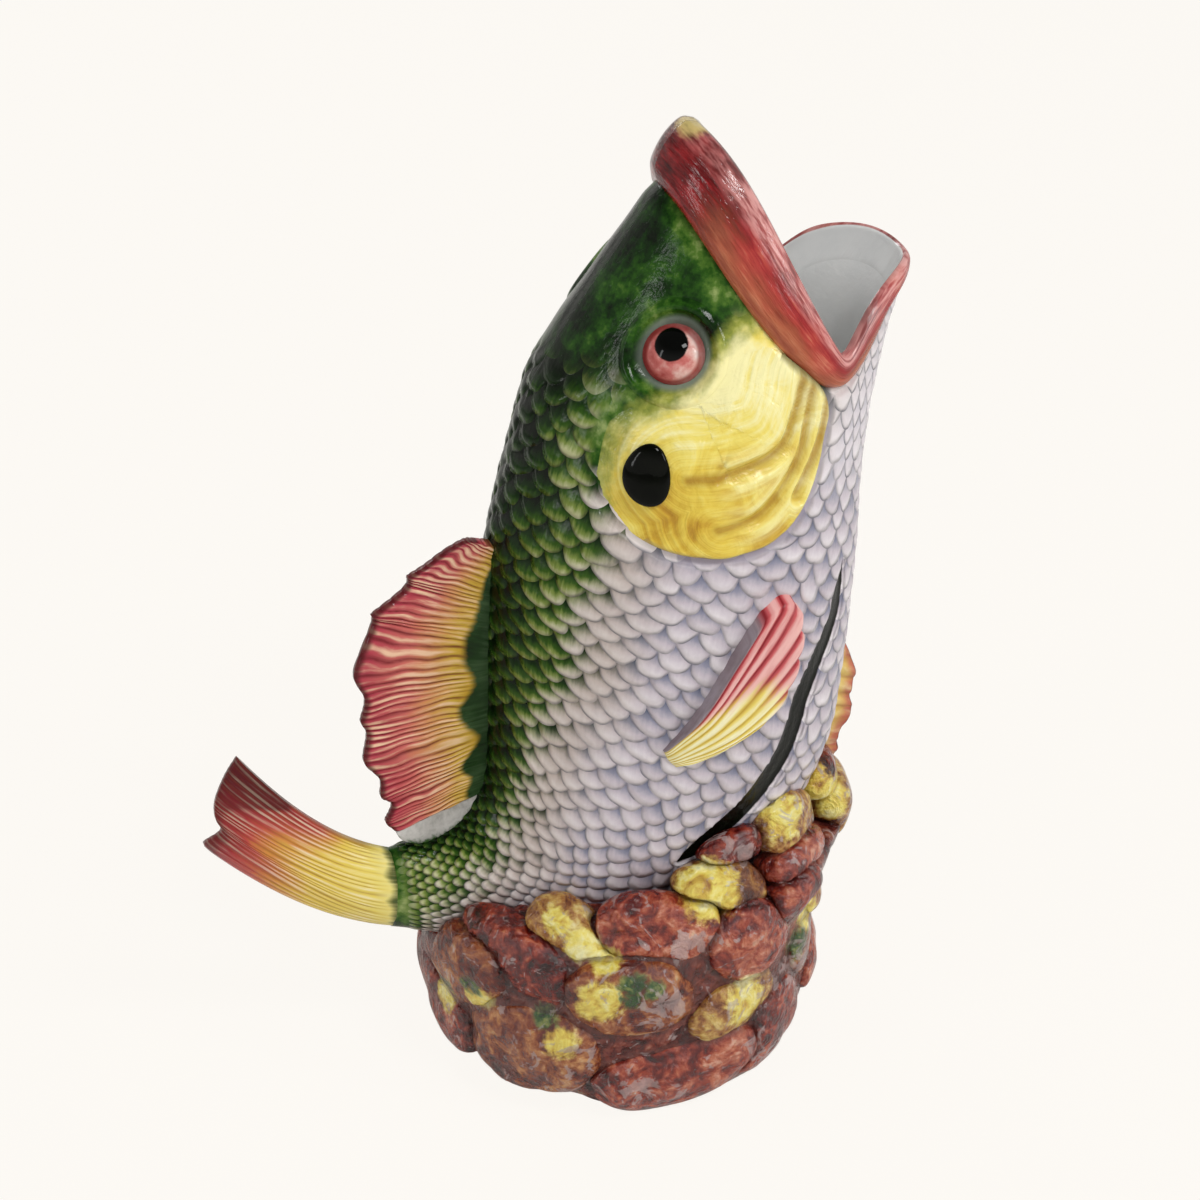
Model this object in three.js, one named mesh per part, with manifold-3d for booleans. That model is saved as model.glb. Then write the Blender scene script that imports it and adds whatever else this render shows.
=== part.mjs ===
// Glazed earthenware pitcher: a fish that rises from a heap of stones and pours from its open mouth.
// Millimetres, +Z up. The fish lies in the plane Y = 0 with its mouth and belly towards +X, its tail
// towards -X and its right flank towards -Y. The origin is the centre of the flat foot.
import * as THREE from "three";
import { mergeVertices } from "three/addons/utils/BufferGeometryUtils.js";
import Module from "manifold-3d";

const wasm = await Module();
wasm.setup();

// Main sizes: from the stem's end to the lower jaw, across the fish, and from the table to the upper jaw.
// Sections, edges and places of stones stretch with them. Walls, clearances and set-on forms don't.
const LENGTH = 163;
const WIDTH = 94;
const HEIGHT = 303;

// Seam between two luted pieces, wall of the hollow fish, and how deep a form reaches into its seat
const SEAM = 0.3;
const BODY_WALL = 5;
const SEAT_DEPTH = 3;

// Fish body, one row per section from the tail stem (station 0) to the mouth (station 11):
// back edge x and z, belly edge x and z, half width. A back ridge of 1 is oval, more is keener.
const STATIONS = [
  [-79, 78, -79, 50, 8],
  [-66, 80, -60, 44, 13],
  [-55, 86, -35, 39, 21],
  [-48, 98, -5, 38, 30],
  [-46, 116, 26, 47, 38],
  [-45, 138, 50, 71, 43],
  [-44, 160, 63, 98, 46],
  [-42, 181, 67, 131, 47],
  [-35.5, 207, 69, 164, 47],
  [-26.5, 235.5, 70, 197, 44],
  [-6, 265.5, 75, 229, 36],
  [21, 303, 84, 256, 25],
];
const BACK_RIDGE = 1.18;
const HOLLOW_FROM_STATION = 1.6;
const BODY_ROWS = 20;
const BODY_COLUMNS = 28;
const HOLLOW_ROWS = 15;

// Mouth: angle of its corners from the back ridge, depth of the notch there in stations. The edge falls to
// the corners by powers: one for the upper jaw, and for the lower jaw a full curve mixed with a keen tip.
const MOUTH_CORNER_ANGLE = 118;
const MOUTH_NOTCH = 1;
const UPPER_JAW_POWER = 1.45;
const LOWER_JAW_POWER = 1.5;
const LOWER_TIP_POWER = 12;
const LOWER_JAW_SHARE = 0.6;

// Rolled lip: widths, swell over the skin, and its profile as share of the width and of the swell.
// The pouring edge lies at a share of the wall's depth.
const LIP_WIDTH_UPPER = 20;
const LIP_WIDTH_CORNER = 10;
const LIP_WIDTH_LOWER = 5;
const LIP_SWELL_UPPER = 3.5;
const LIP_SWELL_LOWER = 1.2;
const LIP_PROFILE = [[0, 0], [0.2, 0.85], [0.55, 1], [0.88, 0.75]];
const LIP_EDGE_DEPTH = 0.4;

// Eyes, gill covers and gill spots: station, angle from the back ridge, sizes
const EYE_STATION = 9.69;
const EYE_ANGLE = 50.5;
const EYE_RADIUS = 12;
const EYE_SUNK = 9;
const EYE_FACETS = [16, 10];
const SOCKET_RADIUS = 10.4;
const SOCKET_RIM = 1.4;
const SOCKET_FACETS = [6, 16];
const GILL_STATION = 9.02;
const GILL_ANGLE = 74.3;
const GILL_REAR = 31;
const GILL_FRONT = 23;
const GILL_WIDTH = 68;
const GILL_RISE = 2.4;
const GILL_FRONT_RISE = 1.6;
const GILL_FADE = [-0.2, 0.9];
const GILL_DOME = 1.2;
const GILL_EDGE_POWER = 6;
const GILL_ROWS = 7;
const SPOT_STATION = 8.7;
const SPOT_ANGLE = 55.4;
const SPOT_LENGTH = 19;
const SPOT_WIDTH = 14.5;
const SPOT_RISE = 1.7;
const SPOT_FACETS = [14, 8];

// Fins: thickness, height of the rays and of the scallops between them
const FIN_ROOT_THICKNESS = 7;
const FIN_EDGE_THICKNESS = 3;
const FIN_SCALLOP = 2.5;
const RAY_RELIEF = 0.6;
const FIN_ROWS = 3;

// Dorsal fin in the plane Y = 0: stations of its root, edge from the tail end to the head end
const DORSAL_STATIONS = [3, 7];
const DORSAL_EDGE = [[-75, 85], [-83, 112], [-85, 144], [-70, 172], [-50, 184]];
const DORSAL_RAYS = 18;
const DORSAL_SCALLOPS = 9;

// Web that fills the corner between dorsal fin and tail stem: its last station on the stem, its share of
// the fin's lowest ray, and its thickness
const WEB_STATION = 0.4;
const WEB_REACH = 0.94;
const WEB_THICKNESS = 5;
const WEB_COLUMNS = 8;

// Tail fin: edge from the lower lobe to the upper lobe as x, y, z, the droop of its rays, and the share of
// their length over which the fin thins out
const TAIL_EDGE = [[-130, 14, 83], [-128, 3, 95], [-130, 0, 104], [-128, 0, 115], [-122, 0, 124]];
const TAIL_DROOP = 6.5;
const TAIL_THINNING = 0.8;
const TAIL_RAYS = 14;
const TAIL_ROWS = 5;

// Ventral fin in the plane Y = 0
const VENTRAL_STATIONS = [5.1, 6.8];
const VENTRAL_EDGE = [[66, 72], [74, 88], [75, 104], [71, 123]];
const VENTRAL_RAYS = 7;
const VENTRAL_SCALLOPS = 5;

// Pectoral fins: station and angle of the root and of the edge, start of the rays as a share of their
// length, and height of both ends as a share of the rise
const PECTORAL_ROOT = [5.5, 78];
const PECTORAL_EDGE = [[7.6, 97.5], [7.88, 107], [7.46, 115], [6.7, 110], [5.9, 91]];
const PECTORAL_START = 0.04;
const PECTORAL_ENDS = 0.7;
const PECTORAL_RAYS = 7;
const PECTORAL_SCALLOPS = 5;
const PECTORAL_LENGTH = 62;
const PECTORAL_RISE = 4;
const PECTORAL_ROWS = 5;

// Heap, one row per section from the table up, a fixed step apart: centre x, half length, half width
const HEAP_SECTIONS = [
  [2, 57, 57],
  [-2, 61, 61],
  [-6, 65, 62],
  [-5, 64, 62],
  [6, 66, 59],
  [10, 59, 51],
  [13, 50, 44],
];
const HEAP_STEP = 15;
const CORE_HEIGHT = 66;
const CORE_INSET = 4.5;
const CORE_ROWS = 4;
const CORE_COLUMNS = 20;

// Hollow of the base, with its profile as shares of the radius and of the height, and the vent in its floor
const BASE_WALL = 8.5;
const HOLLOW_HEIGHT = 22;
const HOLLOW_PROFILE = [[0, 0], [1, 0], [1, 0.4], [0.7, 0.85], [0, 1]];
const HOLLOW_COLUMNS = 24;
const VENT_RADIUS = 3;
const VENT_OFFSET = 20;
const VENT_COLUMNS = 16;

// The stones are cut level a little above the table
const FOOT_PROUD = 0.6;

// Stones: azimuth from +X in degrees, height of the middle, length, height, tilt in degrees, colour
const STONE_DEPTH = 18;
const STONE_PROUD = 1.5;
const STONE_FULLNESS = 0.82;
const STONE_FACETS = [8, 5];
const BROWN = 0x8a4030;
const YELLOW = 0xd9c45a;
const MOSS = 0x7d6a34;
const STONES = [
  [-93, 15, 58, 28, 8, BROWN],
  [-134, 25, 48, 37, 6, MOSS],
  [-58, 17, 42, 30, 15, BROWN],
  [178, 20, 56, 36, -6, BROWN],
  [136, 19, 54, 34, 8, BROWN],
  [92, 18, 56, 32, -5, BROWN],
  [46, 19, 56, 34, -8, MOSS],
  [-4, 17, 56, 32, 4, BROWN],
  [-105, 46, 42, 30, -3, MOSS],
  [-70, 34, 39, 27, 12, YELLOW],
  [-158, 44, 36, 32, -10, MOSS],
  [158, 47, 52, 32, 10, BROWN],
  [114, 45, 56, 32, -8, MOSS],
  [70, 44, 52, 30, 8, BROWN],
  [29, 46, 46, 32, -6, YELLOW],
  [-34, 34, 26, 28, 8, MOSS],
  [-27, 47, 22, 20, 10, YELLOW],
  [-2, 40, 36, 22, -5, BROWN],
  [-74, 55, 31, 32, 30, BROWN],
  [-105, 65, 44, 25, -8, BROWN],
  [-143, 53, 51, 24, -18, BROWN],
  [-128, 62, 42, 17, -28, YELLOW],
  [-6, 68, 34, 28, 6, YELLOW],
  [-60, 64, 28, 14, 6, BROWN],
  [-55, 73, 32, 13, 4, BROWN],
  [-88, 73, 32, 20, -8, YELLOW],
  [34, 67, 46, 28, -8, BROWN],
  [76, 67, 48, 28, 8, YELLOW],
  [116, 66, 50, 30, -8, BROWN],
  [-58, 85, 28, 23, 0, YELLOW],
  [-83, 84, 27, 15, 20, BROWN],
  [-16, 83, 28, 16, -4, BROWN],
  [18, 83, 30, 20, 6, YELLOW],
  [50, 86, 34, 22, -6, BROWN],
  [84, 86, 34, 20, 8, BROWN],
];

// Plain colours of the other glazes
const GLAZE = {
  scales: 0x6f8a4c,
  lip: 0x9c2f30,
  gill: 0xd9bf4d,
  spot: 0x15160f,
  socket: 0x4f7238,
  eye: 0xc98078,
  pectoral: 0xd8a850,
  dorsal: 0xc05a52,
  web: 0xc9c8c2,
  tail: 0xd0873f,
  ventral: 0xc8793f,
  base: 0x7a3b2c,
};
const GLAZE_ROUGHNESS = 0.15;

// Distance within which points are one, and steps over which the slopes of the skin and its rim are taken
const WELD = 1e-4;
const SLOPE_STEP = 0.05;
const RIM_STEP = 0.2;

const radians = THREE.MathUtils.degToRad;
const lerp = THREE.MathUtils.lerp;
const smooth = THREE.MathUtils.smoothstep;
const steps = (count, make) => Array.from({ length: count }, (_, index) => make(index));

// Closed geometry from points and faces, turned so that it faces out.
function closed(points, faces) {
  let volume = 0;
  for (let i = 0; i < faces.length; i += 3) {
    const [a, b, c] = faces.slice(i, i + 3).map((index) => points[index]);
    volume += a.dot(b.clone().cross(c));
  }
  if (volume < 0) faces.reverse();
  const geometry = new THREE.BufferGeometry().setFromPoints(points);
  geometry.setIndex(faces);
  return geometry;
}

function bandFaces(start, onward, columns) {
  return steps(columns, (column) => {
    const next = (column + 1) % columns;
    return [start + column, start + next, onward + next, start + column, onward + next, onward + column];
  }).flat();
}

// Skin over a row of rings, with a fan over the first and the last ring.
function loft(rings) {
  const columns = rings[0].length;
  const points = rings.flat();
  const band = (ring) => bandFaces(ring * columns, (ring + 1) * columns, columns);
  const faces = steps(rings.length - 1, band).flat();
  const total = (ring) => ring.reduce((sum, point) => sum.add(point), new THREE.Vector3());
  const middle = (ring) => total(ring).divideScalar(columns);
  const first = points.push(middle(rings[0])) - 1;
  const last = points.push(middle(rings.at(-1))) - 1;
  const lastRing = (rings.length - 1) * columns;
  for (let column = 0; column < columns; column++) {
    const next = (column + 1) % columns;
    faces.push(first, next, column, last, lastRing + column, lastRing + next);
  }
  return closed(points, faces);
}

// Skin over a row of rings whose last ring joins the first one.
function hoop(rings) {
  const columns = rings[0].length;
  const onward = (ring) => ((ring + 1) % rings.length) * columns;
  const band = (ring) => bandFaces(ring * columns, onward(ring), columns);
  return closed(rings.flat(), steps(rings.length, band).flat());
}

// Plate between two surfaces over u (rows) and v (columns), both from 0 to 1.
function plate(rows, columns, upper, lower) {
  const points = [];
  for (const surface of [upper, lower]) {
    for (let column = 0; column <= columns; column++) {
      for (let row = 0; row <= rows; row++) points.push(surface(row / rows, column / columns));
    }
  }
  const side = (rows + 1) * (columns + 1);
  const at = (row, column) => column * (rows + 1) + row;
  const faces = [];
  for (let column = 0; column < columns; column++) {
    for (let row = 0; row < rows; row++) {
      const [a, b] = [at(row, column), at(row + 1, column)];
      const [c, d] = [at(row + 1, column + 1), at(row, column + 1)];
      faces.push(a, b, c, a, c, d, a + side, c + side, b + side, a + side, d + side, c + side);
    }
  }
  const rim = [
    ...steps(columns, (column) => at(0, column)),
    ...steps(rows, (row) => at(row, columns)),
    ...steps(columns, (column) => at(rows, columns - column)),
    ...steps(rows, (row) => at(rows - row, 0)),
  ];
  rim.forEach((a, index) => {
    const b = rim[(index + 1) % rim.length];
    faces.push(a, b, b + side, a, b + side, a + side);
  });
  return closed(points, faces);
}

function solid(geometry) {
  geometry.deleteAttribute("normal");
  geometry.deleteAttribute("uv");
  const merged = mergeVertices(geometry, WELD);
  const made = new wasm.Mesh({
    numProp: 3,
    vertProperties: new Float32Array(merged.attributes.position.array),
    triVerts: new Uint32Array(merged.index.array),
  });
  return new wasm.Manifold(made);
}

// What is left of a form when others are cut from it, without loose crumbs.
function cutAway(form, others) {
  const rest = others.reduce((left, other) => left.subtract(other), form);
  return rest.decompose().reduce((best, lump) => (lump.volume() > best.volume() ? lump : best));
}

const pitcher = new THREE.Group();
pitcher.name = "fish_pitcher";

function addPiece(name, form, color) {
  const { vertProperties, triVerts } = form.getMesh();
  const geometry = new THREE.BufferGeometry();
  geometry.setAttribute("position", new THREE.BufferAttribute(vertProperties, 3));
  geometry.setIndex(new THREE.BufferAttribute(triVerts, 1));
  geometry.computeVertexNormals();
  const glaze = new THREE.MeshStandardMaterial({ color, roughness: GLAZE_ROUGHNESS, metalness: 0 });
  const mesh = new THREE.Mesh(geometry, glaze);
  mesh.name = name;
  pitcher.add(mesh);
}

// Places in the part, stretched from the drawn sections to the main sizes

const stemRow = STATIONS[0];
const mouthRow = STATIONS.at(-1);
const stretch = new THREE.Vector3(
  LENGTH / (mouthRow[2] - stemRow[0]),
  WIDTH / (2 * Math.max(...STATIONS.map((row) => row[4]))),
  HEIGHT / mouthRow[1],
);
const drawn = (x, y, z) => new THREE.Vector3(x, y, z).multiply(stretch);
const inPlane = ([x, z]) => drawn(x, 0, z);

// Fish body

const LAST_STATION = STATIONS.length - 1;
const splineThrough = (points) => new THREE.CatmullRomCurve3(points, false, "catmullrom");
const backLine = splineThrough(STATIONS.map(([x, z, , , width]) => drawn(x, width, z)));
const bellyLine = splineThrough(STATIONS.map(([, , x, z]) => inPlane([x, z])));

// Point of the skin; the angle runs from the back ridge over the right flank to the belly.
function skin(station, angle, lift = 0) {
  const back = backLine.getPoint(station / LAST_STATION);
  const belly = bellyLine.getPoint(station / LAST_STATION);
  const width = back.y + lift;
  back.y = 0;
  const depth = back.clone().sub(belly);
  const half = depth.length() / 2 + lift;
  const point = back.add(belly).divideScalar(2).addScaledVector(depth.normalize(), half * Math.cos(angle));
  const keenness = Math.cos(angle) > 0 ? BACK_RIDGE : 1;
  point.y -= width * Math.abs(Math.sin(angle)) ** keenness * Math.sign(Math.sin(angle));
  return point;
}

// How the skin runs towards the mouth, per station, and round the body, per radian.
function along(station, angle) {
  const from = Math.max(station - SLOPE_STEP, 0);
  const to = Math.min(station + SLOPE_STEP, LAST_STATION);
  return skin(to, angle).sub(skin(from, angle)).divideScalar(to - from);
}

function around(station, angle) {
  const onward = skin(station, angle + SLOPE_STEP);
  return onward.sub(skin(station, angle - SLOPE_STEP)).divideScalar(2 * SLOPE_STEP);
}

// Frame on the skin: x towards the mouth, z out of the skin.
function skinFrame(station, angle, lift = 0) {
  const forward = along(station, angle).normalize();
  const out = around(station, angle).cross(forward).normalize();
  const frame = new THREE.Matrix4().makeBasis(forward, out.clone().cross(forward), out);
  return frame.setPosition(skin(station, angle, lift));
}

// Share of the way from the back ridge down to the belly.
const fall = (angle) => (1 - Math.cos(angle)) / 2;
const CORNER_FALL = fall(radians(MOUTH_CORNER_ANGLE));
const towardsCorner = (angle) => Math.min(fall(angle) / CORNER_FALL, 1);
const belowCorner = (angle) => Math.min((1 - fall(angle)) / (1 - CORNER_FALL), 1);

// Station of the mouth's edge: longest at both jaw tips, notched at the corners.
function rimStation(angle) {
  const below = belowCorner(angle);
  const upper = towardsCorner(angle) ** UPPER_JAW_POWER;
  const lower = lerp(below ** LOWER_TIP_POWER, below ** LOWER_JAW_POWER, LOWER_JAW_SHARE);
  return LAST_STATION - MOUTH_NOTCH * Math.min(upper, lower);
}

function lipWidth(angle) {
  if (fall(angle) > CORNER_FALL) return lerp(LIP_WIDTH_LOWER, LIP_WIDTH_CORNER, belowCorner(angle));
  return lerp(LIP_WIDTH_UPPER, LIP_WIDTH_CORNER, towardsCorner(angle) ** 2);
}

// Station at a distance below the mouth's edge, square to the edge, which runs askew across the stations.
function stationBelowRim(angle, distance) {
  const rim = rimStation(angle);
  const forward = along(rim - RIM_STEP, angle).length();
  const sideways = around(rim - RIM_STEP, angle).length();
  const climb = (rimStation(angle + RIM_STEP / 2) - rimStation(angle - RIM_STEP / 2)) / RIM_STEP;
  const skew = Math.hypot(1, (climb * forward) / sideways);
  return rim - (distance * skew) / forward;
}

const bodyAngles = steps(BODY_COLUMNS, (column) => (column * 2 * Math.PI) / BODY_COLUMNS);

// Rings from a station up to the line where the lip is set on, which the growth moves up.
function bodyRings(rows, lift, grow, firstStation) {
  return steps(rows + 1, (row) =>
    bodyAngles.map((angle) => {
      const share = row / rows;
      const top = stationBelowRim(angle, lipWidth(angle) + SEAM - grow);
      const level = lerp(firstStation, LAST_STATION - MOUTH_NOTCH, share);
      return skin(lerp(level, lerp(firstStation, top, share), share ** 2), angle, lift);
    }),
  );
}

// The fish without its hollow, larger by the growth: it cuts the seat of every piece set on it.
function bodyBlock(grow) {
  const rings = bodyRings(BODY_ROWS, grow, grow, 0);
  const stemEnd = along(0, 0).normalize().multiplyScalar(-grow);
  rings[0].forEach((point) => point.add(stemEnd));
  return solid(loft(rings));
}

function bodyShell(grow) {
  const hollow = bodyRings(HOLLOW_ROWS, -BODY_WALL - grow, grow, HOLLOW_FROM_STATION).reverse();
  return solid(loft([...bodyRings(BODY_ROWS, grow, grow, 0), ...hollow]));
}

// Rolled lip: up over its profile to the pouring edge, then back down the inner wall.
function mouthLip() {
  const [rollShare] = LIP_PROFILE.at(-1);
  const rings = bodyAngles.map((angle) => {
    const rim = rimStation(angle);
    const foot = stationBelowRim(angle, lipWidth(angle) + SEAM * 2);
    const swell = lerp(LIP_SWELL_UPPER, LIP_SWELL_LOWER, smooth(fall(angle), 0, 1));
    const section = LIP_PROFILE.map(([share, rise]) => skin(lerp(foot, rim, share), angle, swell * rise));
    section.push(skin(rim, angle, -BODY_WALL * LIP_EDGE_DEPTH));
    section.push(skin(lerp(foot, rim, rollShare), angle, -BODY_WALL));
    section.push(skin(foot, angle, -BODY_WALL));
    return section;
  });
  return solid(hoop(rings));
}

const bodySeat = bodyBlock(SEAM);
addPiece("body_shell", bodyShell(0), GLAZE.scales);
addPiece("mouth_lip", cutAway(mouthLip(), [bodyShell(SEAM)]), GLAZE.lip);

// Pieces set on both flanks: side 1 is the right flank, side -1 the left flank

const SIDES = { right: 1, left: -1 };
const onSide = (angle, side) => radians(angle) * side;

function eyeball(side, grow) {
  const ball = new THREE.SphereGeometry(EYE_RADIUS + grow, ...EYE_FACETS);
  return solid(ball.applyMatrix4(skinFrame(EYE_STATION, onSide(EYE_ANGLE, side), -EYE_SUNK)));
}

function eyeSocket(side, grow) {
  const ring = new THREE.TorusGeometry(SOCKET_RADIUS, SOCKET_RIM + grow, ...SOCKET_FACETS);
  return solid(ring.applyMatrix4(skinFrame(EYE_STATION, onSide(EYE_ANGLE, side))));
}

// Disc that hugs the flank, full at the rear edge and fading towards the cheek.
function gillDisc(side, grow) {
  const middle = onSide(GILL_ANGLE, side);
  const perStation = along(GILL_STATION, middle).length();
  const perRadian = around(GILL_STATION, middle).length();
  const point = (u, v, lift) => {
    const [a, b] = [u * 2 - 1, v * 2 - 1];
    const forward = a * Math.sqrt(1 - (b * b) / 2);
    const down = b * Math.sqrt(1 - (a * a) / 2);
    const reach = (forward > 0 ? GILL_FRONT : GILL_REAR) + grow;
    const station = GILL_STATION + (forward * reach) / perStation;
    const angle = middle + (side * down * (GILL_WIDTH / 2 + grow)) / perRadian;
    return skin(station, angle, lift(forward, Math.hypot(forward, down)));
  };
  const rise = (forward, radius) => {
    const full = lerp(GILL_RISE, GILL_FRONT_RISE, smooth(forward, ...GILL_FADE));
    return grow + full * Math.sqrt(GILL_DOME - radius ** GILL_EDGE_POWER);
  };
  const upper = (u, v) => point(u, v, rise);
  const lower = (u, v) => point(u, v, () => -SEAT_DEPTH);
  return solid(plate(GILL_ROWS, GILL_ROWS, upper, lower));
}

function gillSpot(side) {
  const ball = new THREE.SphereGeometry(1, ...SPOT_FACETS);
  ball.scale(SPOT_LENGTH / 2, SPOT_WIDTH / 2, SPOT_RISE);
  return solid(ball.applyMatrix4(skinFrame(SPOT_STATION, onSide(SPOT_ANGLE, side), GILL_RISE)));
}

// Height of the rays across a fin and of the scallops along its edge.
const rays = (count, v) => RAY_RELIEF * Math.cos(2 * Math.PI * count * v);
const scallops = (count, v) => FIN_SCALLOP * Math.abs(Math.sin(Math.PI * count * v));

function pectoralFin(side) {
  const root = new THREE.Vector3(...PECTORAL_ROOT, 0);
  const edge = splineThrough(PECTORAL_EDGE.map(([station, angle]) => new THREE.Vector3(station, angle, 0)));
  const point = (u, v, lift) => {
    const reach = 1 + (scallops(PECTORAL_SCALLOPS, v) - FIN_SCALLOP) / PECTORAL_LENGTH;
    const spot = root.clone().lerp(edge.getPoint(v), lerp(PECTORAL_START, reach, u));
    return skin(spot.x, onSide(spot.y, side), lift);
  };
  const swell = (u) => PECTORAL_RISE * lerp(PECTORAL_ENDS, 1, Math.sin(Math.PI * u));
  const upper = (u, v) => point(u, v, swell(u) + rays(PECTORAL_RAYS, v) * u);
  const lower = (u, v) => point(u, v, -SEAT_DEPTH);
  return solid(plate(PECTORAL_ROWS, PECTORAL_RAYS * 2, upper, lower));
}

for (const [name, side] of Object.entries(SIDES)) {
  const eyeSeats = [eyeball(side, SEAM), eyeSocket(side, SEAM)];
  addPiece(`gill_cover_${name}`, cutAway(gillDisc(side, 0), [bodySeat, ...eyeSeats]), GLAZE.gill);
  addPiece(`gill_spot_${name}`, cutAway(gillSpot(side), [gillDisc(side, SEAM), bodySeat]), GLAZE.spot);
  addPiece(`eye_socket_${name}`, cutAway(eyeSocket(side, 0), [bodySeat, eyeSeats[0]]), GLAZE.socket);
  addPiece(`eyeball_${name}`, cutAway(eyeball(side, 0), [bodySeat]), GLAZE.eye);
  addPiece(`pectoral_fin_${name}`, cutAway(pectoralFin(side), [bodySeat]), GLAZE.pectoral);
}

// Fins in the plane Y = 0

// Fin between its two faces; the point is given for u, v and side -1 or 1.
function twoSided(rows, columns, point) {
  return solid(plate(rows, columns, (u, v) => point(u, v, -1), (u, v) => point(u, v, 1)));
}

// Fan of rays from a root line to a scalloped edge, thick at the root and thin at the edge.
function midFin(rootAt, edge, rayCount, scallopCount) {
  const point = (u, v, side) => {
    const root = rootAt(v);
    const tip = edge.getPoint(v);
    const reach = 1 + (scallops(scallopCount, v) - FIN_SCALLOP) / tip.distanceTo(root);
    const place = root.lerp(tip, reach * u);
    const thickness = lerp(FIN_ROOT_THICKNESS, FIN_EDGE_THICKNESS, u) + rays(rayCount, v) * u;
    place.y += (side * thickness) / 2;
    return place;
  };
  return twoSided(FIN_ROWS, rayCount * 2, point);
}

const dorsalRoot = (v) => skin(lerp(...DORSAL_STATIONS, v), 0, -SEAT_DEPTH);
const dorsalEdge = splineThrough(DORSAL_EDGE.map(inPlane));
const dorsalFin = midFin(dorsalRoot, dorsalEdge, DORSAL_RAYS, DORSAL_SCALLOPS);
addPiece("dorsal_fin", cutAway(dorsalFin, [bodySeat]), GLAZE.dorsal);

// Web under the lowest ray of the dorsal fin, down to the stem.
function finWeb() {
  const inner = dorsalRoot(0);
  const outer = inPlane(DORSAL_EDGE[0]);
  const under = outer.clone().sub(inner).cross(new THREE.Vector3(0, 1, 0)).normalize();
  const sink = under.z < 0 ? SEAM : -SEAM;
  const point = (u, v, side) => {
    const upper = inner.clone().lerp(outer, v * WEB_REACH).addScaledVector(under, sink);
    const lower = skin(lerp(DORSAL_STATIONS[0], WEB_STATION, v), 0, -SEAT_DEPTH);
    const place = upper.lerp(lower, u);
    place.y = (side * WEB_THICKNESS) / 2;
    return place;
  };
  return twoSided(FIN_ROWS, WEB_COLUMNS, point);
}
addPiece("fin_web", cutAway(finWeb(), [bodySeat]), GLAZE.web);

// Tail fin: starts as thick as the stem's end and thins out over its rays.
function tailFin() {
  const [backX, backZ, bellyX, bellyZ, halfWidth] = stemRow;
  const stemEnd = along(0, 0).normalize().multiplyScalar(-SEAM);
  const edge = splineThrough(TAIL_EDGE.map((place) => drawn(...place)));
  const edgeHalf = FIN_EDGE_THICKNESS / 2;
  const arch = (u) => 4 * u * (1 - u);
  const point = (u, v, side) => {
    const angle = Math.PI * (1 - v);
    const root = inPlane([bellyX, bellyZ]).lerp(inPlane([backX, backZ]), fall(Math.PI - angle));
    const place = root.add(stemEnd).lerp(edge.getPoint(v), u);
    place.z -= TAIL_DROOP * arch(u);
    const stemHalf = Math.max(halfWidth * stretch.y * Math.sin(angle), edgeHalf);
    const half = lerp(stemHalf, edgeHalf, smooth(u, 0, TAIL_THINNING)) + (rays(TAIL_RAYS, v) * u) / 2;
    place.y += side * half;
    return place;
  };
  return twoSided(TAIL_ROWS, TAIL_RAYS * 2, point);
}
addPiece("tail_fin", cutAway(tailFin(), [bodySeat]), GLAZE.tail);

// Heap of stones

const heapRow = ([middle, length, width]) => {
  return new THREE.Vector3(middle * stretch.x, length * stretch.x, width * stretch.y);
};
const heapLine = splineThrough(HEAP_SECTIONS.map(heapRow));
const heapTop = HEAP_STEP * stretch.z * (HEAP_SECTIONS.length - 1);

function heapPoint(azimuth, height, inset) {
  const section = heapLine.getPoint(height / heapTop);
  const x = section.x + (section.y - inset) * Math.cos(azimuth);
  return new THREE.Vector3(x, (section.z - inset) * Math.sin(azimuth), height);
}

function heapCore(grow) {
  const rings = steps(CORE_ROWS + 1, (row) =>
    steps(CORE_COLUMNS, (column) => {
      const azimuth = (column * 2 * Math.PI) / CORE_COLUMNS;
      const point = heapPoint(azimuth, (CORE_HEIGHT * row) / CORE_ROWS, CORE_INSET - grow);
      if (row === CORE_ROWS) point.z += grow;
      return point;
    }),
  );
  return solid(loft(rings));
}

function rockBase() {
  const radius = Math.min(heapRow(HEAP_SECTIONS[0]).y, heapRow(HEAP_SECTIONS[0]).z) - CORE_INSET - BASE_WALL;
  const dome = HOLLOW_PROFILE.map(
    ([across, up]) => new THREE.Vector2(radius * across, BASE_WALL + HOLLOW_HEIGHT * up),
  );
  const hollow = new THREE.LatheGeometry(dome, HOLLOW_COLUMNS).rotateX(Math.PI / 2);
  const vent = new THREE.CylinderGeometry(VENT_RADIUS, VENT_RADIUS, BASE_WALL * 4, VENT_COLUMNS);
  vent.rotateX(Math.PI / 2).translate(-VENT_OFFSET, 0, 0);
  return cutAway(heapCore(0), [bodySeat, solid(hollow), solid(vent)]);
}
addPiece("rock_base", rockBase(), GLAZE.base);

function stone([azimuth, height, length, tall, tilt], grow) {
  const turn = radians(azimuth);
  const lump = new THREE.SphereGeometry(1, ...STONE_FACETS).rotateX(Math.PI / 2);
  const spots = lump.attributes.position.array;
  spots.set(spots.map((value) => Math.sign(value) * Math.abs(value) ** STONE_FULLNESS));
  lump.scale(STONE_DEPTH / 2 + grow, length / 2 + grow, tall / 2 + grow);
  const place = heapPoint(turn, height * stretch.z, STONE_DEPTH / 2 - STONE_PROUD);
  return solid(lump.rotateX(radians(tilt)).rotateZ(turn).translate(place.x, place.y, place.z));
}

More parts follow.
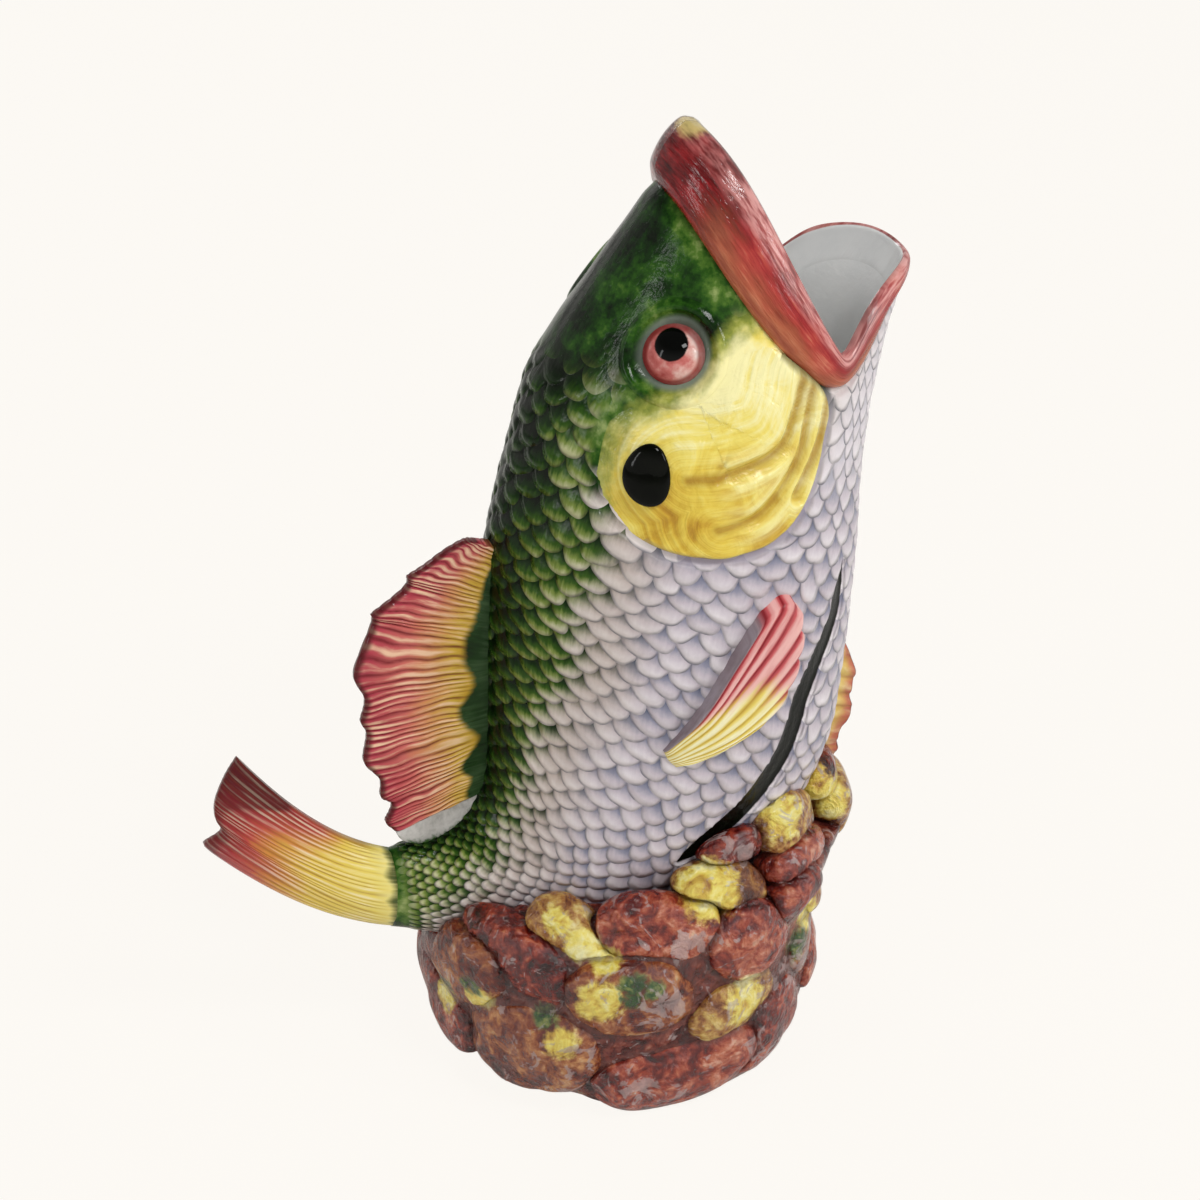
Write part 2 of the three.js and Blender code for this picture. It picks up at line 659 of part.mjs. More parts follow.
const placed = [bodySeat, heapCore(SEAM)];
STONES.forEach((row, index) => {
  const name = `stone_${String(index + 1).padStart(2, "0")}`;
  const color = row.at(-1);
  const level = stone(row, 0).trimByPlane([0, 0, 1], FOOT_PROUD);
  addPiece(name, cutAway(level, placed), color);
  placed.push(stone(row, SEAM));
});

const ventralRoot = (v) => skin(lerp(...VENTRAL_STATIONS, v), Math.PI, -SEAT_DEPTH);
const ventralEdge = splineThrough(VENTRAL_EDGE.map(inPlane));
const ventralFin = midFin(ventralRoot, ventralEdge, VENTRAL_RAYS, VENTRAL_SCALLOPS);
addPiece("ventral_fin", cutAway(ventralFin, placed), GLAZE.ventral);

export default pitcher;
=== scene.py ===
"""Looks of the glazed fish pitcher in the CAD part's frame: scaled body, painted fins and a heap of stones."""
import math

import bpy
import numpy as np
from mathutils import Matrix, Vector, kdtree, noise

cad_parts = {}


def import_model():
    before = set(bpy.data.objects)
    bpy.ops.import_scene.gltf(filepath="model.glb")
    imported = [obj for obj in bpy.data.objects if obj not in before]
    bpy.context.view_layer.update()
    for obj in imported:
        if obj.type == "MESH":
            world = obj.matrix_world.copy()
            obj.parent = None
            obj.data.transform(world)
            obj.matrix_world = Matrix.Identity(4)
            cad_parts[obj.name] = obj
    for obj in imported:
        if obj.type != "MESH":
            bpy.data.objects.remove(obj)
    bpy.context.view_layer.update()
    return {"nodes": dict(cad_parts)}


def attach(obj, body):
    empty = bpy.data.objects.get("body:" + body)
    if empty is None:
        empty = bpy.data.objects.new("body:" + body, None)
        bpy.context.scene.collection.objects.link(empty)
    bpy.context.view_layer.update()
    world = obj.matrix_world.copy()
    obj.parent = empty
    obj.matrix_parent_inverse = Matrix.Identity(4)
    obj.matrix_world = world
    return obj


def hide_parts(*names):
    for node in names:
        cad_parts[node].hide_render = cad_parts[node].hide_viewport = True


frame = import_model()

# Sizes are in millimetres and degrees until a mesh is made.
MM = 0.001
SIDES = {"right": 1, "left": -1}

# Skin of the fish from the tail stem to the upper jaw: back x, back z, belly x, belly z, half width
STATIONS = [
    [-79, 78, -79, 50, 8],
    [-66, 80, -60, 44, 13],
    [-55, 86, -35, 39, 21],
    [-48, 98, -5, 38, 30],
    [-46, 116, 26, 47, 38],
    [-45, 138, 50, 71, 43],
    [-44, 160, 63, 98, 46],
    [-42, 181, 67, 131, 47],
    [-35.5, 207, 69, 164, 47],
    [-26.5, 235.5, 70, 197, 44],
    [-6, 265.5, 75, 229, 36],
    [21, 303, 84, 256, 25],
]
LAST = len(STATIONS) - 1
BACK_RIDGE = 1.18
WALL = 5
MOUTH_CORNER = 118
LIP_WIDTHS = (20, 9, 4.5)
LIP_SWELL = [(0, 5.8), (25, 5.2), (60, 3.8), (118, 2.6), (180, 1.2)]
RIM_WALL = 1.6
FLARE = 24

# Places on the skin are station and angle: 0 is the back ridge, 90 the flank, 180 the belly.
EYE = (9.69, 50.5)
EYE_RADIUS = 9.6
EYE_SUNK = 6.9
SPOT = (8.7, 57)
SPOT_LENGTH, SPOT_WIDTH = 9.0, 6.7
GREEN_EDGE = [
    (0, 185), (0.3, 160), (0.6, 118), (0.9, 92), (1.4, 70), (2.0, 54), (2.7, 42), (3.8, 38), (4.6, 38),
    (5.3, 40), (6.2, 46), (7, 45), (7.51, 49.5), (7.82, 47.9), (8.24, 44.7), (8.54, 46.3), (8.7, 62), (9, 92),
    (9.8, 110), (11, 130),
]
CHEEK = [
    (8.99, 38.9), (8.8, 39.6), (8.55, 40.6), (8.28, 43.3), (8.11, 51.3), (8.02, 65), (8.07, 76.9), (8.21, 90),
    (8.45, 102.2), (8.79, 111.1), (9.12, 113.8), (9.42, 114.3), (9.62, 114), (9.76, 110), (9.86, 102),
    (9.94, 93), (10.0, 81), (9.95, 73.3), (9.69, 68.6), (9.49, 64.7), (9.35, 58.8), (9.24, 50), (9.13, 42.3),
]
YELLOW = [
    (10.05, 92), (10.12, 84), (10.1, 77), (9.95, 69.5), (9.6, 64.5), (9.34, 59), (9.18, 54), (9.02, 50),
    (8.8, 47), (8.55, 46), (8.3, 47), (7.95, 52), (7.85, 64), (7.9, 80), (8.1, 94), (8.4, 108), (8.8, 117),
    (9.4, 121), (9.95, 123), (10.1, 105),
]
CHEEK_MIDDLE = (9.02, 78.2)
CHEEK_GROOVES = [
    [(9.89, 97), (9.61, 98.1), (9.24, 95.1), (8.94, 81.1), (8.79, 69.2)],
    [(9.81, 102), (9.51, 103.5), (9.16, 103.4), (8.65, 93.6), (8.42, 80.4)],
    [(9.75, 109.9), (9.38, 111.4), (8.86, 105.7)],
]
STRIPE = [
    (8.1, 136.7), (7.59, 135.3), (7.09, 127), (6.65, 121.5), (6.04, 118), (5.48, 114), (4.69, 106), (4.3, 101),
]
STATION_MM = 31
DEGREE_MM = 0.87

# Scales in rows that count up towards the head; lengths in rows, widths in columns
SCALES_ROUND = 30
SCALE_LENGTH = 1.5
SCALE_WIDTH = 0.54
SCALE_ROUND = 2.2
SCALE_RISE = 0.35
SCALE_HEIGHT = 1.5
SCALE_STEP = 1.2


def lerp(a, b, share):
    return a + (b - a) * share


def smooth(low, high, value):
    share = np.clip((np.asarray(value, float) - low) / (high - low), 0, 1)
    return share * share * (3 - 2 * share)


def join(*parts):
    return np.concatenate(parts)


def turns(count):
    return np.linspace(0, 2 * np.pi, count, endpoint=False)


def grid(rows, columns):
    """Shares from 0 to 1 down the rows and across the columns."""
    return np.linspace(0, 1, rows)[:, None], np.linspace(0, 1, columns)[None]


def spline(points, place):
    """Uniform Catmull-Rom curve through the points; the place is counted in points."""
    points = np.asarray(points, float)
    place = np.clip(np.asarray(place, float), 0, len(points) - 1)
    first = np.minimum(place.astype(int), len(points) - 2)
    f = (place - first)[..., None]
    padded = np.vstack([2 * points[0] - points[1], points, 2 * points[-1] - points[-2]])
    a, b, c, d = (padded[first + step] for step in range(4))
    return b + f / 2 * (c - a + f * (2 * a - 5 * b + 4 * c - d + f * (3 * (b - c) + d - a)))


def along(points, share):
    return spline(points, share * (len(points) - 1))


def blurred(field, rounds):
    """Values round a ring, or round each ring of a grid, evened out."""
    for _ in range(rounds):
        field = (np.roll(field, 1, axis=-1) + 2 * field + np.roll(field, -1, axis=-1)) / 4
    return field


def softened(field, rounds):
    """The field over a grid of rings, blurred a little, so that no edge is sharper than the mesh."""
    for _ in range(rounds):
        field = blurred(field, 1)
        field = join(field[:1], (field[:-2] + 2 * field[1:-1] + field[2:]) / 4, field[-1:])
    return field


def skin(station, angle, lift=0.0):
    station, angle, lift = np.broadcast_arrays(np.asarray(station, float), angle, lift)
    row = spline(STATIONS, station)
    turn = np.radians(angle)
    depth = row[..., 0:2] - row[..., 2:4]
    length = np.linalg.norm(depth, axis=-1)
    across = ((length / 2 + lift) * np.cos(turn) / length)[..., None]
    flat = (row[..., 0:2] + row[..., 2:4]) / 2 + depth * across
    bulge = np.abs(np.sin(turn)) ** np.where(np.cos(turn) > 0, BACK_RIDGE, 1.0)
    side = -(row[..., 4] + lift) * bulge * np.sign(np.sin(turn))
    return np.stack([flat[..., 0], side, flat[..., 1]], -1)


def skin_rates(station, angle):
    """Millimetres per station and per degree at a place of the skin."""
    forward = np.linalg.norm(skin(station + 0.1, angle) - skin(station - 0.1, angle), axis=-1) / 0.2
    around = np.linalg.norm(skin(station, angle + 2) - skin(station, angle - 2), axis=-1) / 4
    return forward, around


def lumps(points, size, shift=0.0):
    """Soft noise from -1 to 1 at the points, with lumps of about that size."""
    flat = np.asarray(points, float).reshape(-1, 3) / size + shift
    values = np.array([noise.noise(Vector(point)) for point in flat])
    return values.reshape(np.shape(points)[:-1])


def mouth_edges(angles):
    """Stations of the mouth's edge, drawn softly round its corners, and of the lip's foot, below it."""
    turn = np.arange(720) / 2
    fall, corner = ((1 - np.cos(np.radians(angle))) / 2 for angle in (turn, MOUTH_CORNER))
    towards = np.minimum(fall / corner, 1)
    below = np.minimum((1 - fall) / (1 - corner), 1)
    rim = blurred(LAST - np.minimum(towards**1.45, lerp(below**12, below**1.5, 0.6)), 60)
    upper, middle, lower = LIP_WIDTHS
    width = np.where(fall > corner, lerp(lower, middle, below), lerp(upper, middle, towards**2))
    forward, around = skin_rates(rim - 0.2, turn)
    apart = np.abs((turn[:, None] - turn + 180) % 360 - 180) * around
    reached = rim - np.sqrt(np.maximum(width**2 - apart**2, 0)) / forward
    foot = blurred(np.where(apart < width, reached, LAST).min(axis=1), 20)
    return np.interp(angles, turn, rim, period=360), np.interp(angles, turn, foot, period=360)


def inner_lift(station, rim):
    """The wall is thin at the mouth's edge and full some way down."""
    return -lerp(RIM_WALL, WALL, smooth(0, FLARE / STATION_MM, rim - station))


def line_distance(station, angle, line):
    """Distance in millimetres to a line on the skin, and how far along the line, from 0 to 1."""
    place = np.stack([np.asarray(station) * STATION_MM, np.asarray(angle) * DEGREE_MM], -1)
    points = np.asarray(line, float) * (STATION_MM, DEGREE_MM)
    best = np.full(place.shape[:-1], 1e9)
    where = np.zeros(place.shape[:-1])
    for index, (a, b) in enumerate(zip(points[:-1], points[1:])):
        share = np.clip((place - a) @ (b - a) / ((b - a) @ (b - a)), 0, 1)
        distance = np.linalg.norm(place - a - share[..., None] * (b - a), axis=-1)
        nearer = distance < best
        best = np.where(nearer, distance, best)
        where = np.where(nearer, (index + share) / (len(points) - 1), where)
    return best, where


def outline_distance(station, angle, outline):
    """Signed distance to an outline on the skin in millimetres, negative inside."""
    outline = np.asarray(outline + outline[:1], float)
    distance, _ = line_distance(station, angle, outline)
    inside = np.zeros(np.shape(distance), bool)
    for (s0, a0), (s1, a1) in zip(outline[:-1], outline[1:]):
        crosses = (a0 > angle) != (a1 > angle)
        slope = np.where(a1 == a0, 1e-9, a1 - a0)
        inside ^= crosses & (station < s0 + (s1 - s0) * (angle - a0) / slope)
    return np.where(inside, -distance, distance)


def yellow_mark(station, angle):
    """Depth inside the yellow of the cheek in millimetres, plus 12, and 0 far outside."""
    return np.maximum(12 - outline_distance(station, angle, YELLOW), 0)


def front_mark(station):
    """From 0 behind the gill cover to 0.4 at the mouth."""
    return smooth(8.3, 9.8, station) * 0.4


def past_green(station, angle):
    """Degrees from the lower edge of the green towards the belly."""
    return angle - np.interp(station, *zip(*GREEN_EDGE))


# Meshes: points, faces, and marks for the glaze, each a value per point

def ring_faces(rows, columns, closed=False):
    index = np.arange(rows * columns).reshape(rows, columns)
    onward = np.roll(index, -1, axis=0) if closed else index[1:]
    here = index if closed else index[:-1]
    quads = np.stack([here, np.roll(here, -1, axis=1), np.roll(onward, -1, axis=1), onward], -1)
    return quads.reshape(-1, 4).tolist()


def spread_out(marks, shape):
    return {key: np.broadcast_to(mark, shape) for key, mark in marks.items()}


def tube(rings, marks):
    """Closed mesh over a row of rings, with a fan over the first and the last ring."""
    rows, columns = rings.shape[:2]
    points = join(rings.reshape(-1, 3), rings[:1].mean(axis=1), rings[-1:].mean(axis=1))
    marks = spread_out(marks, (rows, columns))
    flat = {key: np.append(mark, [mark[0].mean(), mark[-1].mean()]) for key, mark in marks.items()}
    faces = ring_faces(rows, columns)
    last = (rows - 1) * columns
    for column in range(columns):
        onward = (column + 1) % columns
        faces.append((rows * columns, onward, column))
        faces.append((rows * columns + 1, last + column, last + onward))
    return points, faces, flat


def hoop(rings, marks):
    """Closed mesh over rings whose last ring joins the first one."""
    shape = rings.shape[:2]
    flat = {key: mark.ravel() for key, mark in spread_out(marks, shape).items()}
    return rings.reshape(-1, 3), ring_faces(*shape, closed=True), flat


def plate(upper, lower, marks):
    """Closed mesh between two grids of points, joined round the border."""
    rows, columns = upper.shape[:2]
    order = np.arange(rows * columns).reshape(rows, columns)
    quads = np.stack([order[:-1, :-1], order[:-1, 1:], order[1:, 1:], order[1:, :-1]], -1).reshape(-1, 4)
    rim = join(order[0, :-1], order[:-1, -1], order[-1, :0:-1], order[:0:-1, 0])
    onward = np.roll(rim, -1)
    under = rows * columns
    sides = np.stack([onward, rim, rim + under, onward + under], -1)
    faces = join(quads, quads[:, ::-1] + under, sides).tolist()
    flat = {key: np.tile(mark.ravel(), 2) for key, mark in spread_out(marks, (rows, columns)).items()}
    return join(upper.reshape(-1, 3), lower.reshape(-1, 3)), faces, flat


def slab(middle, half, marks):
    """Plate over both sides of a grid near the fish's mid-plane."""
    across = np.zeros(middle.shape)
    across[..., 1] = half
    return plate(middle - across, middle + across, marks)


def facing_out(points, faces):
    volume = 0.0
    for size in (3, 4):
        group = np.array([face for face in faces if len(face) == size], int)
        if len(group):
            for step in range(1, size - 1):
                a, b, c = points[group[:, 0]], points[group[:, step]], points[group[:, step + 1]]
                volume += np.einsum("ij,ij->", a, np.cross(b, c))
    return faces if volume > 0 else [face[::-1] for face in faces]


def add_object(name, data):
    made = bpy.data.objects.new(name, data)
    bpy.context.scene.collection.objects.link(made)
    return made


def add_piece(name, made, node, material):
    points, faces, marks = made
    mesh = bpy.data.meshes.new(name)
    mesh.from_pydata((np.asarray(points) * MM).tolist(), [], facing_out(points, faces))
    for key, values in marks.items():
        layer = mesh.attributes.new(key, "FLOAT", "POINT")
        layer.data.foreach_set("value", np.asarray(values, np.float32))
    mesh.polygons.foreach_set("use_smooth", np.ones(len(mesh.polygons), bool))
    mesh.materials.append(material)
    piece = add_object(name, mesh)
    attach(piece, "root")
    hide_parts(node)


# Glazes

def rgb(red, green, blue):
    """Colour as seen on a screen, 0 to 255, in linear light."""
    def linear(value):
        value /= 255
        return value / 12.92 if value <= 0.04045 else ((value + 0.055) / 1.055) ** 2.4

    return (linear(red), linear(green), linear(blue), 1.0)


class Nodes:
    """The node tree of a material or a world."""

    def __init__(self, owner):
        owner.use_nodes = True
        self.tree = owner.node_tree

    def fill(self, node, inputs):
        for key, value in dict(inputs).items():
            if isinstance(value, bpy.types.NodeSocket):
                self.tree.links.new(value, node.inputs[key])
            else:
                node.inputs[key].default_value = value
        return node

    def node(self, kind, inputs=(), **settings):
        made = self.tree.nodes.new("ShaderNode" + kind)
        for key, value in settings.items():
            setattr(made, key, value)
        return self.fill(made, inputs)

    def math(self, operation, a, b=0.0, clamp=False):
        return self.node("Math", {0: a, 1: b}, operation=operation, use_clamp=clamp).outputs[0]

    def times(self, a, b):
        return self.math("MULTIPLY", a, b)

    def show(self, share, first, second, output):
        """Shows the first shader, and the second one by its share."""
        blend = self.node("MixShader", {0: share, 1: first.outputs[0], 2: second.outputs[0]})
        self.fill(self.tree.nodes[output], {"Surface": blend.outputs[0]})


class Glaze(Nodes):
    """A glossy glaze whose colours are mixed from the marks on the mesh and from noise."""

    def __init__(self, name, specular=0.14):
        self.material = bpy.data.materials.new(name)
        super().__init__(self.material)
        self.shader = self.tree.nodes["Principled BSDF"]
        self.fill(self.shader, {"Specular IOR Level": specular})
        self.space = self.node("TexCoord").outputs["Object"]

    def mark(self, name):
        return self.node("Attribute", attribute_name=name).outputs["Fac"]

    def marks(self, *names):
        return [self.mark(name) for name in names]

    def sum(self, first, *terms):
        """The first value plus each (value, factor)."""
        for value, factor in terms:
            first = self.node("Math", {0: value, 1: factor, 2: first}, operation="MULTIPLY_ADD").outputs[0]
        return first

    def span(self, value, low, high, start=0.0, end=1.0):
        """Soft step of the value from start to end between low and high."""
        inputs = {"Value": value, "From Min": low, "From Max": high, "To Min": start, "To Max": end}
        return self.node("MapRange", inputs, interpolation_type="SMOOTHSTEP").outputs[0]

    def place(self, x, y, z=0.0):
        return self.node("CombineXYZ", {"X": x, "Y": y, "Z": z}).outputs[0]

    def noise(self, scale, detail=3.0, roughness=0.55, distortion=0.0, at=None):
        """Noise at a place, which is the position on the object in metres unless it is given."""
        inputs = {"Vector": self.space if at is None else at, "Scale": scale, "Detail": detail}
        inputs.update({"Roughness": roughness, "Distortion": distortion})
        return self.node("TexNoise", inputs).outputs["Fac"]

    def ramp(self, value, *stops):
        """Colour by value; each stop is a value and a screen colour."""
        low, high = stops[0][0], stops[-1][0]
        share = self.node("MapRange", {"Value": value, "From Min": low, "From Max": high}).outputs[0]
        made = self.node("ValToRGB", {"Fac": share})
        points = made.color_ramp.elements
        for position, *colour in stops[1:-1]:
            points.new((position - low) / (high - low)).color = rgb(*colour)
        points[0].color = rgb(*stops[0][1:])
        points[len(points) - 1].color = rgb(*stops[-1][1:])
        return made.outputs["Color"]

    def mix(self, share, first, second):
        return self.node("Mix", {0: share, 6: first, 7: second}, data_type="RGBA").outputs[2]

    def choose(self, share, first, second):
        return self.node("Mix", {0: share, 2: first, 3: second}, data_type="FLOAT").outputs[0]

    def done(self, colour, gloss, height=None, depth=0.0):
        """The finished material; gloss is the range of its roughness, as the glaze pools and thins out."""
        inputs = {"Base Color": colour, "Roughness": self.span(self.noise(60.0), 0.3, 0.7, *gloss)}
        if height is not None:
            bump = self.node("Bump", {"Height": height, "Distance": depth, "Strength": 1.0})
            inputs["Normal"] = bump.outputs["Normal"]
        self.fill(self.shader, inputs)
        return self.material

    def scales(self):
        """The scales of scale_relief at a point: height, nearness to the tip, depth inside the edge, chance."""
        row, column = self.marks("row", "column")
        do = self.math
        found = None
        for ahead in range(3):
            number = do("ADD", do("FLOOR", row), float(ahead))
            shifted = self.sum(column, (do("FLOORED_MODULO", number, 2.0), -0.5))
            middle = do("ROUND", shifted)
            tailward = do("SUBTRACT", number, row)
            sideward = do("ABSOLUTE", do("SUBTRACT", shifted, middle))
            length = do("POWER", do("MAXIMUM", self.times(tailward, 1 / SCALE_LENGTH), 0.0), SCALE_ROUND)
            width = do("POWER", self.times(sideward, 1 / SCALE_WIDTH), SCALE_ROUND)
            edge = do("SUBTRACT", 1.0, do("POWER", do("ADD", length, width), 1 / SCALE_ROUND))
            tip = do("DIVIDE", do("ADD", tailward, 0.5), SCALE_LENGTH + 0.5, clamp=True)
            bend = do("SUBTRACT", 1.0, do("DIVIDE", edge, SCALE_RISE, clamp=True))
            rounded = do("SUBTRACT", 1.0, self.times(bend, bend))
            height = self.times(self.sum(0.1, (tip, 0.9)), rounded)
            inputs = {"Vector": self.place(number, middle)}
            chance = self.node("TexWhiteNoise", inputs, noise_dimensions="2D").outputs["Value"]
            values = (height, tip, edge, chance)
            if found:
                covers = do("GREATER_THAN", edge, 0.0)
                values = [self.choose(covers, below, above) for below, above in zip(found, values)]
            found = values
        return found


def head_green(g):
    """Mottled green of the smooth head."""
    mottle = g.sum(g.noise(60.0), (g.noise(170.0, 4.0, 0.6), 0.6), (g.noise(500.0, 2.0), 0.35))
    return g.ramp(
        g.sum(mottle, (g.mark("ridge"), -0.25)),
        (0.7, 4, 18, 2), (0.86, 16, 48, 7), (1.0, 40, 80, 18), (1.12, 80, 114, 42), (1.28, 146, 162, 98),
    )


def cheek_yellow(g, ground, gold):
    """The yellow of the cheek brushed over its ground, lime green at the border."""
    border = g.sum(g.mark("yellow"), (g.noise(90.0, 4.0, 0.6, 0.6), 8.0), (g.noise(320.0), 4.0))
    lime = g.ramp(g.noise(240.0), (0.3, 104, 122, 46), (0.5, 148, 154, 66), (0.7, 190, 188, 104))
    ground = g.mix(g.span(border, 10.0, 15.0), ground, lime)
    return g.mix(g.span(border, 14.5, 20.5), ground, gold)


def cheek_gold(g, strokes):
    """Yellow of the cheek: ochre at the rear, cream towards the eye and the mouth."""
    cream = g.span(g.mark("yellow"), 14.0, 30.0, 0.16, 0.0)
    tone = g.sum(cream, (g.mark("front"), 1.0), (g.noise(80.0, 4.0, 0.6, 0.8), 0.9), (strokes, 0.8))
    return g.ramp(
        tone, (0.6, 174, 124, 32), (0.8, 208, 166, 50), (0.98, 230, 201, 78), (1.16, 241, 222, 112),
        (1.4, 249, 241, 178),
    )


def pale_inside(g):
    return g.ramp(g.noise(48.0), (0.3, 236, 237, 236), (0.7, 249, 249, 247))


def fish_glaze(name):
    """Body and rings round the eyes: green back, lilac belly, yellow cheek, dark stripe, pale inside."""
    g = Glaze(name)
    height, tip, edge, chance = g.scales()
    scaly, flank, stripe, ridge, border = g.marks("scaly", "flank", "stripe", "ridge", "border")
    length, around, inner, ring = g.marks("along", "around", "inner", "ring")
    streak = g.noise(0.16, 4.0, at=g.place(length, g.times(around, 5.0), g.times(chance, 40.0)))
    cloud = g.noise(60.0)
    speck = g.noise(500.0, 2.0)

    # Each scale is dark at its root, under the free edge of the scale in front, and pale at its tip: partly the
    # brushed glaze, partly painted shade at the root and a painted highlight at the tip.
    grade = g.sum(tip, (streak, 0.5), (chance, 0.25), (cloud, 0.4), (ridge, -0.5))
    back = g.ramp(
        grade, (0.5, 3, 12, 1), (0.8, 16, 42, 6), (1.05, 52, 84, 20), (1.25, 126, 142, 68),
        (1.45, 190, 192, 144),
    )
    back = g.mix(scaly, head_green(g), back)

    # The belly's scales likewise: blue-lilac glaze at the roots with painted shade there, and a painted
    # highlight at the tips.
    tone = g.sum(tip, (streak, 0.2), (chance, 0.25), (speck, 0.15))
    belly = g.ramp(tone, (0.3, 88, 96, 120), (0.6, 144, 143, 160), (0.85, 196, 186, 194), (1.2, 230, 223, 226))
    blush = g.ramp(tone, (0.3, 62, 68, 52), (0.6, 132, 124, 112), (0.85, 190, 176, 168), (1.2, 222, 212, 206))
    belly = g.mix(g.span(g.sum(flank, (cloud, 1.2)), 1.0, 3.2, 1.0, 0.0), belly, blush)
    belly = g.mix(g.span(g.mark("front"), 0.02, 0.3, 0.0, 0.55), belly, rgb(236, 230, 232))
    green = g.sum(flank, (tip, 1.5), (streak, 0.5), (chance, 0.7), (cloud, 0.5))
    colour = g.mix(g.span(green, 1.1, 2.4), back, belly)

    lilac = g.span(g.sum(flank, (cloud, 1.0)), 0.0, 2.4)
    # Darker in the grooves between the scales, black-green on the back and blue-lilac on the belly: partly
    # glaze pooled there, partly painted shade in the creases.
    groove = g.times(g.span(edge, 0.0, 0.16, 0.7, 0.0), g.span(scaly, 0.2, 0.8))
    groove = g.times(groove, g.span(g.noise(180.0, 2.0), 0.35, 0.6, 0.35, 1.0))
    colour = g.mix(groove, colour, g.mix(lilac, rgb(3, 9, 2), rgb(82, 88, 108)))
    # Painted shade in the groove under the raised rear edge of the gill cover.
    gill_edge_shade = g.mix(lilac, rgb(20, 38, 12), rgb(156, 148, 162))
    colour = g.mix(g.span(border, 0.5, 2.5, 0.0, 0.8), colour, gill_edge_shade)

    colour = cheek_yellow(g, colour, cheek_gold(g, g.noise(130.0, 4.0)))
    dark = g.ramp(streak, (0.3, 4, 6, 3), (0.55, 10, 13, 7), (0.8, 24, 28, 17))
    colour = g.mix(g.span(g.sum(stripe, (speck, 0.5)), 3.0, 3.5), colour, dark)
    # Paler green in the socket groove round the eyeball: partly the pooled glaze, partly a painted reflection.
    colour = g.mix(ring, colour, g.mix(cloud, rgb(58, 72, 56), rgb(140, 148, 138)))
    colour = g.mix(inner, colour, pale_inside(g))
    step = g.times(g.times(height, g.span(scaly, 0.3, 0.9)), SCALE_STEP)
    return g.done(colour, (0.1, 0.22), g.sum(step, (speck, 0.12), (streak, 0.1)), MM)


def cheek_glaze():
    g = Glaze("cheek_glaze", 0.3)
    groove, fold, front, rim, sweep = g.marks("groove", "fold", "front", "rim", "sweep")
    cloud = g.noise(80.0, 4.0, 0.6, 0.8)
    strokes = g.noise(2.2, 4.0, at=g.place(g.times(sweep, 1.4), g.times(groove, 0.22)))
    colour = cheek_gold(g, strokes)
    # Darker ochre along the cheek's grooves, partly painted shade in the creases; paler on the folds, a painted
    # highlight on their crests.
    colour = g.mix(g.span(g.sum(groove, (cloud, 3.0)), 1.2, 4.4, 0.8, 0.0), colour, rgb(158, 112, 30))
    colour = g.mix(g.times(fold, g.span(strokes, 0.35, 0.65, 0.2, 0.7)), colour, rgb(248, 240, 176))
    edge = g.mix(g.span(front, 0.1, 0.4), rgb(170, 148, 92), rgb(132, 128, 84))
    colour = g.mix(g.span(g.sum(rim, (cloud, 2.0)), 1.2, 3.2, 0.85, 0.0), colour, edge)
    colour = cheek_yellow(g, head_green(g), colour)
    return g.done(colour, (0.05, 0.14), g.sum(cloud, (strokes, 0.6)), 0.0014)


def lip_glaze():
    g = Glaze("lip_glaze", 0.3)
    across, around, tip, inner, side = g.marks("across", "around", "tip", "inner", "side")
    streak = g.noise(0.5, 4.0, at=g.place(g.times(across, 14.0), g.times(around, 0.09)))
    hairs = g.noise(0.5, at=g.place(g.times(across, 44.0), g.times(around, 0.22)))
    cloud = g.noise(60.0)
    red = g.ramp(
        g.sum(-0.22, (cloud, 0.8), (streak, 0.7), (hairs, 0.45), (side, 0.2)),
        (0.62, 62, 3, 6), (0.8, 112, 13, 18), (0.95, 154, 34, 38), (1.08, 178, 62, 54), (1.25, 204, 120, 92),
    )
    orange = g.ramp(g.sum(streak, (hairs, 0.6)), (0.5, 142, 60, 40), (0.8, 178, 98, 66), (1.1, 206, 142, 96))
    crease = g.span(g.sum(across, (cloud, 0.8), (streak, 0.6), (hairs, 0.2)), 0.95, 1.45, 0.85, 0.0)
    colour = g.mix(g.times(crease, side), red, orange)
    shine = g.times(g.span(across, 0.62, 0.86), g.span(g.sum(hairs, (streak, 0.5)), 0.6, 0.9, 0.15, 0.8))
    shine = g.times(shine, g.span(side, 0.0, 1.0, 0.35, 1.0))
    colour = g.mix(shine, colour, rgb(228, 172, 166))
    brushed = g.span(g.sum(tip, (cloud, 0.9), (hairs, 0.5)), 1.25, 1.65, 0.0, 0.8)
    colour = g.mix(brushed, colour, rgb(216, 196, 122))
    colour = g.mix(g.span(g.sum(inner, (streak, 0.3)), 0.5, 0.75), colour, pale_inside(g))
    return g.done(colour, (0.05, 0.14), g.sum(streak, (hairs, 0.4), (cloud, 0.5)), 0.0006)


def eye_glaze():
    g = Glaze("eye_glaze", 0.1)
    pupil, radius, iris_sheen = g.marks("pupil", "radius", "iris_sheen")
    cloud = g.noise(260.0)
    # The iris is paler forwards and down, where a painted reflection lies on it.
    iris = g.ramp(
        g.sum(cloud, (iris_sheen, 0.28)),
        (0.2, 164, 66, 64), (0.45, 198, 112, 106), (0.68, 222, 178, 168), (0.9, 238, 228, 222),
    )
    colour = g.mix(g.span(g.sum(radius, (cloud, 1.2)), 7.2, 8.2, 0.0, 0.8), iris, rgb(132, 40, 40))
    colour = g.mix(g.span(g.sum(pupil, (cloud, 0.6)), 4.7, 5.2, 1.0, 0.0), colour, rgb(4, 5, 4))
    return g.done(colour, (0.03, 0.08))


def spot_glaze():
    g = Glaze("spot_glaze", 0.09)
    cloud = g.noise(220.0)
    return g.done(g.ramp(cloud, (0.35, 2, 3, 1), (0.7, 8, 10, 5)), (0.04, 0.1), cloud, 0.0001)


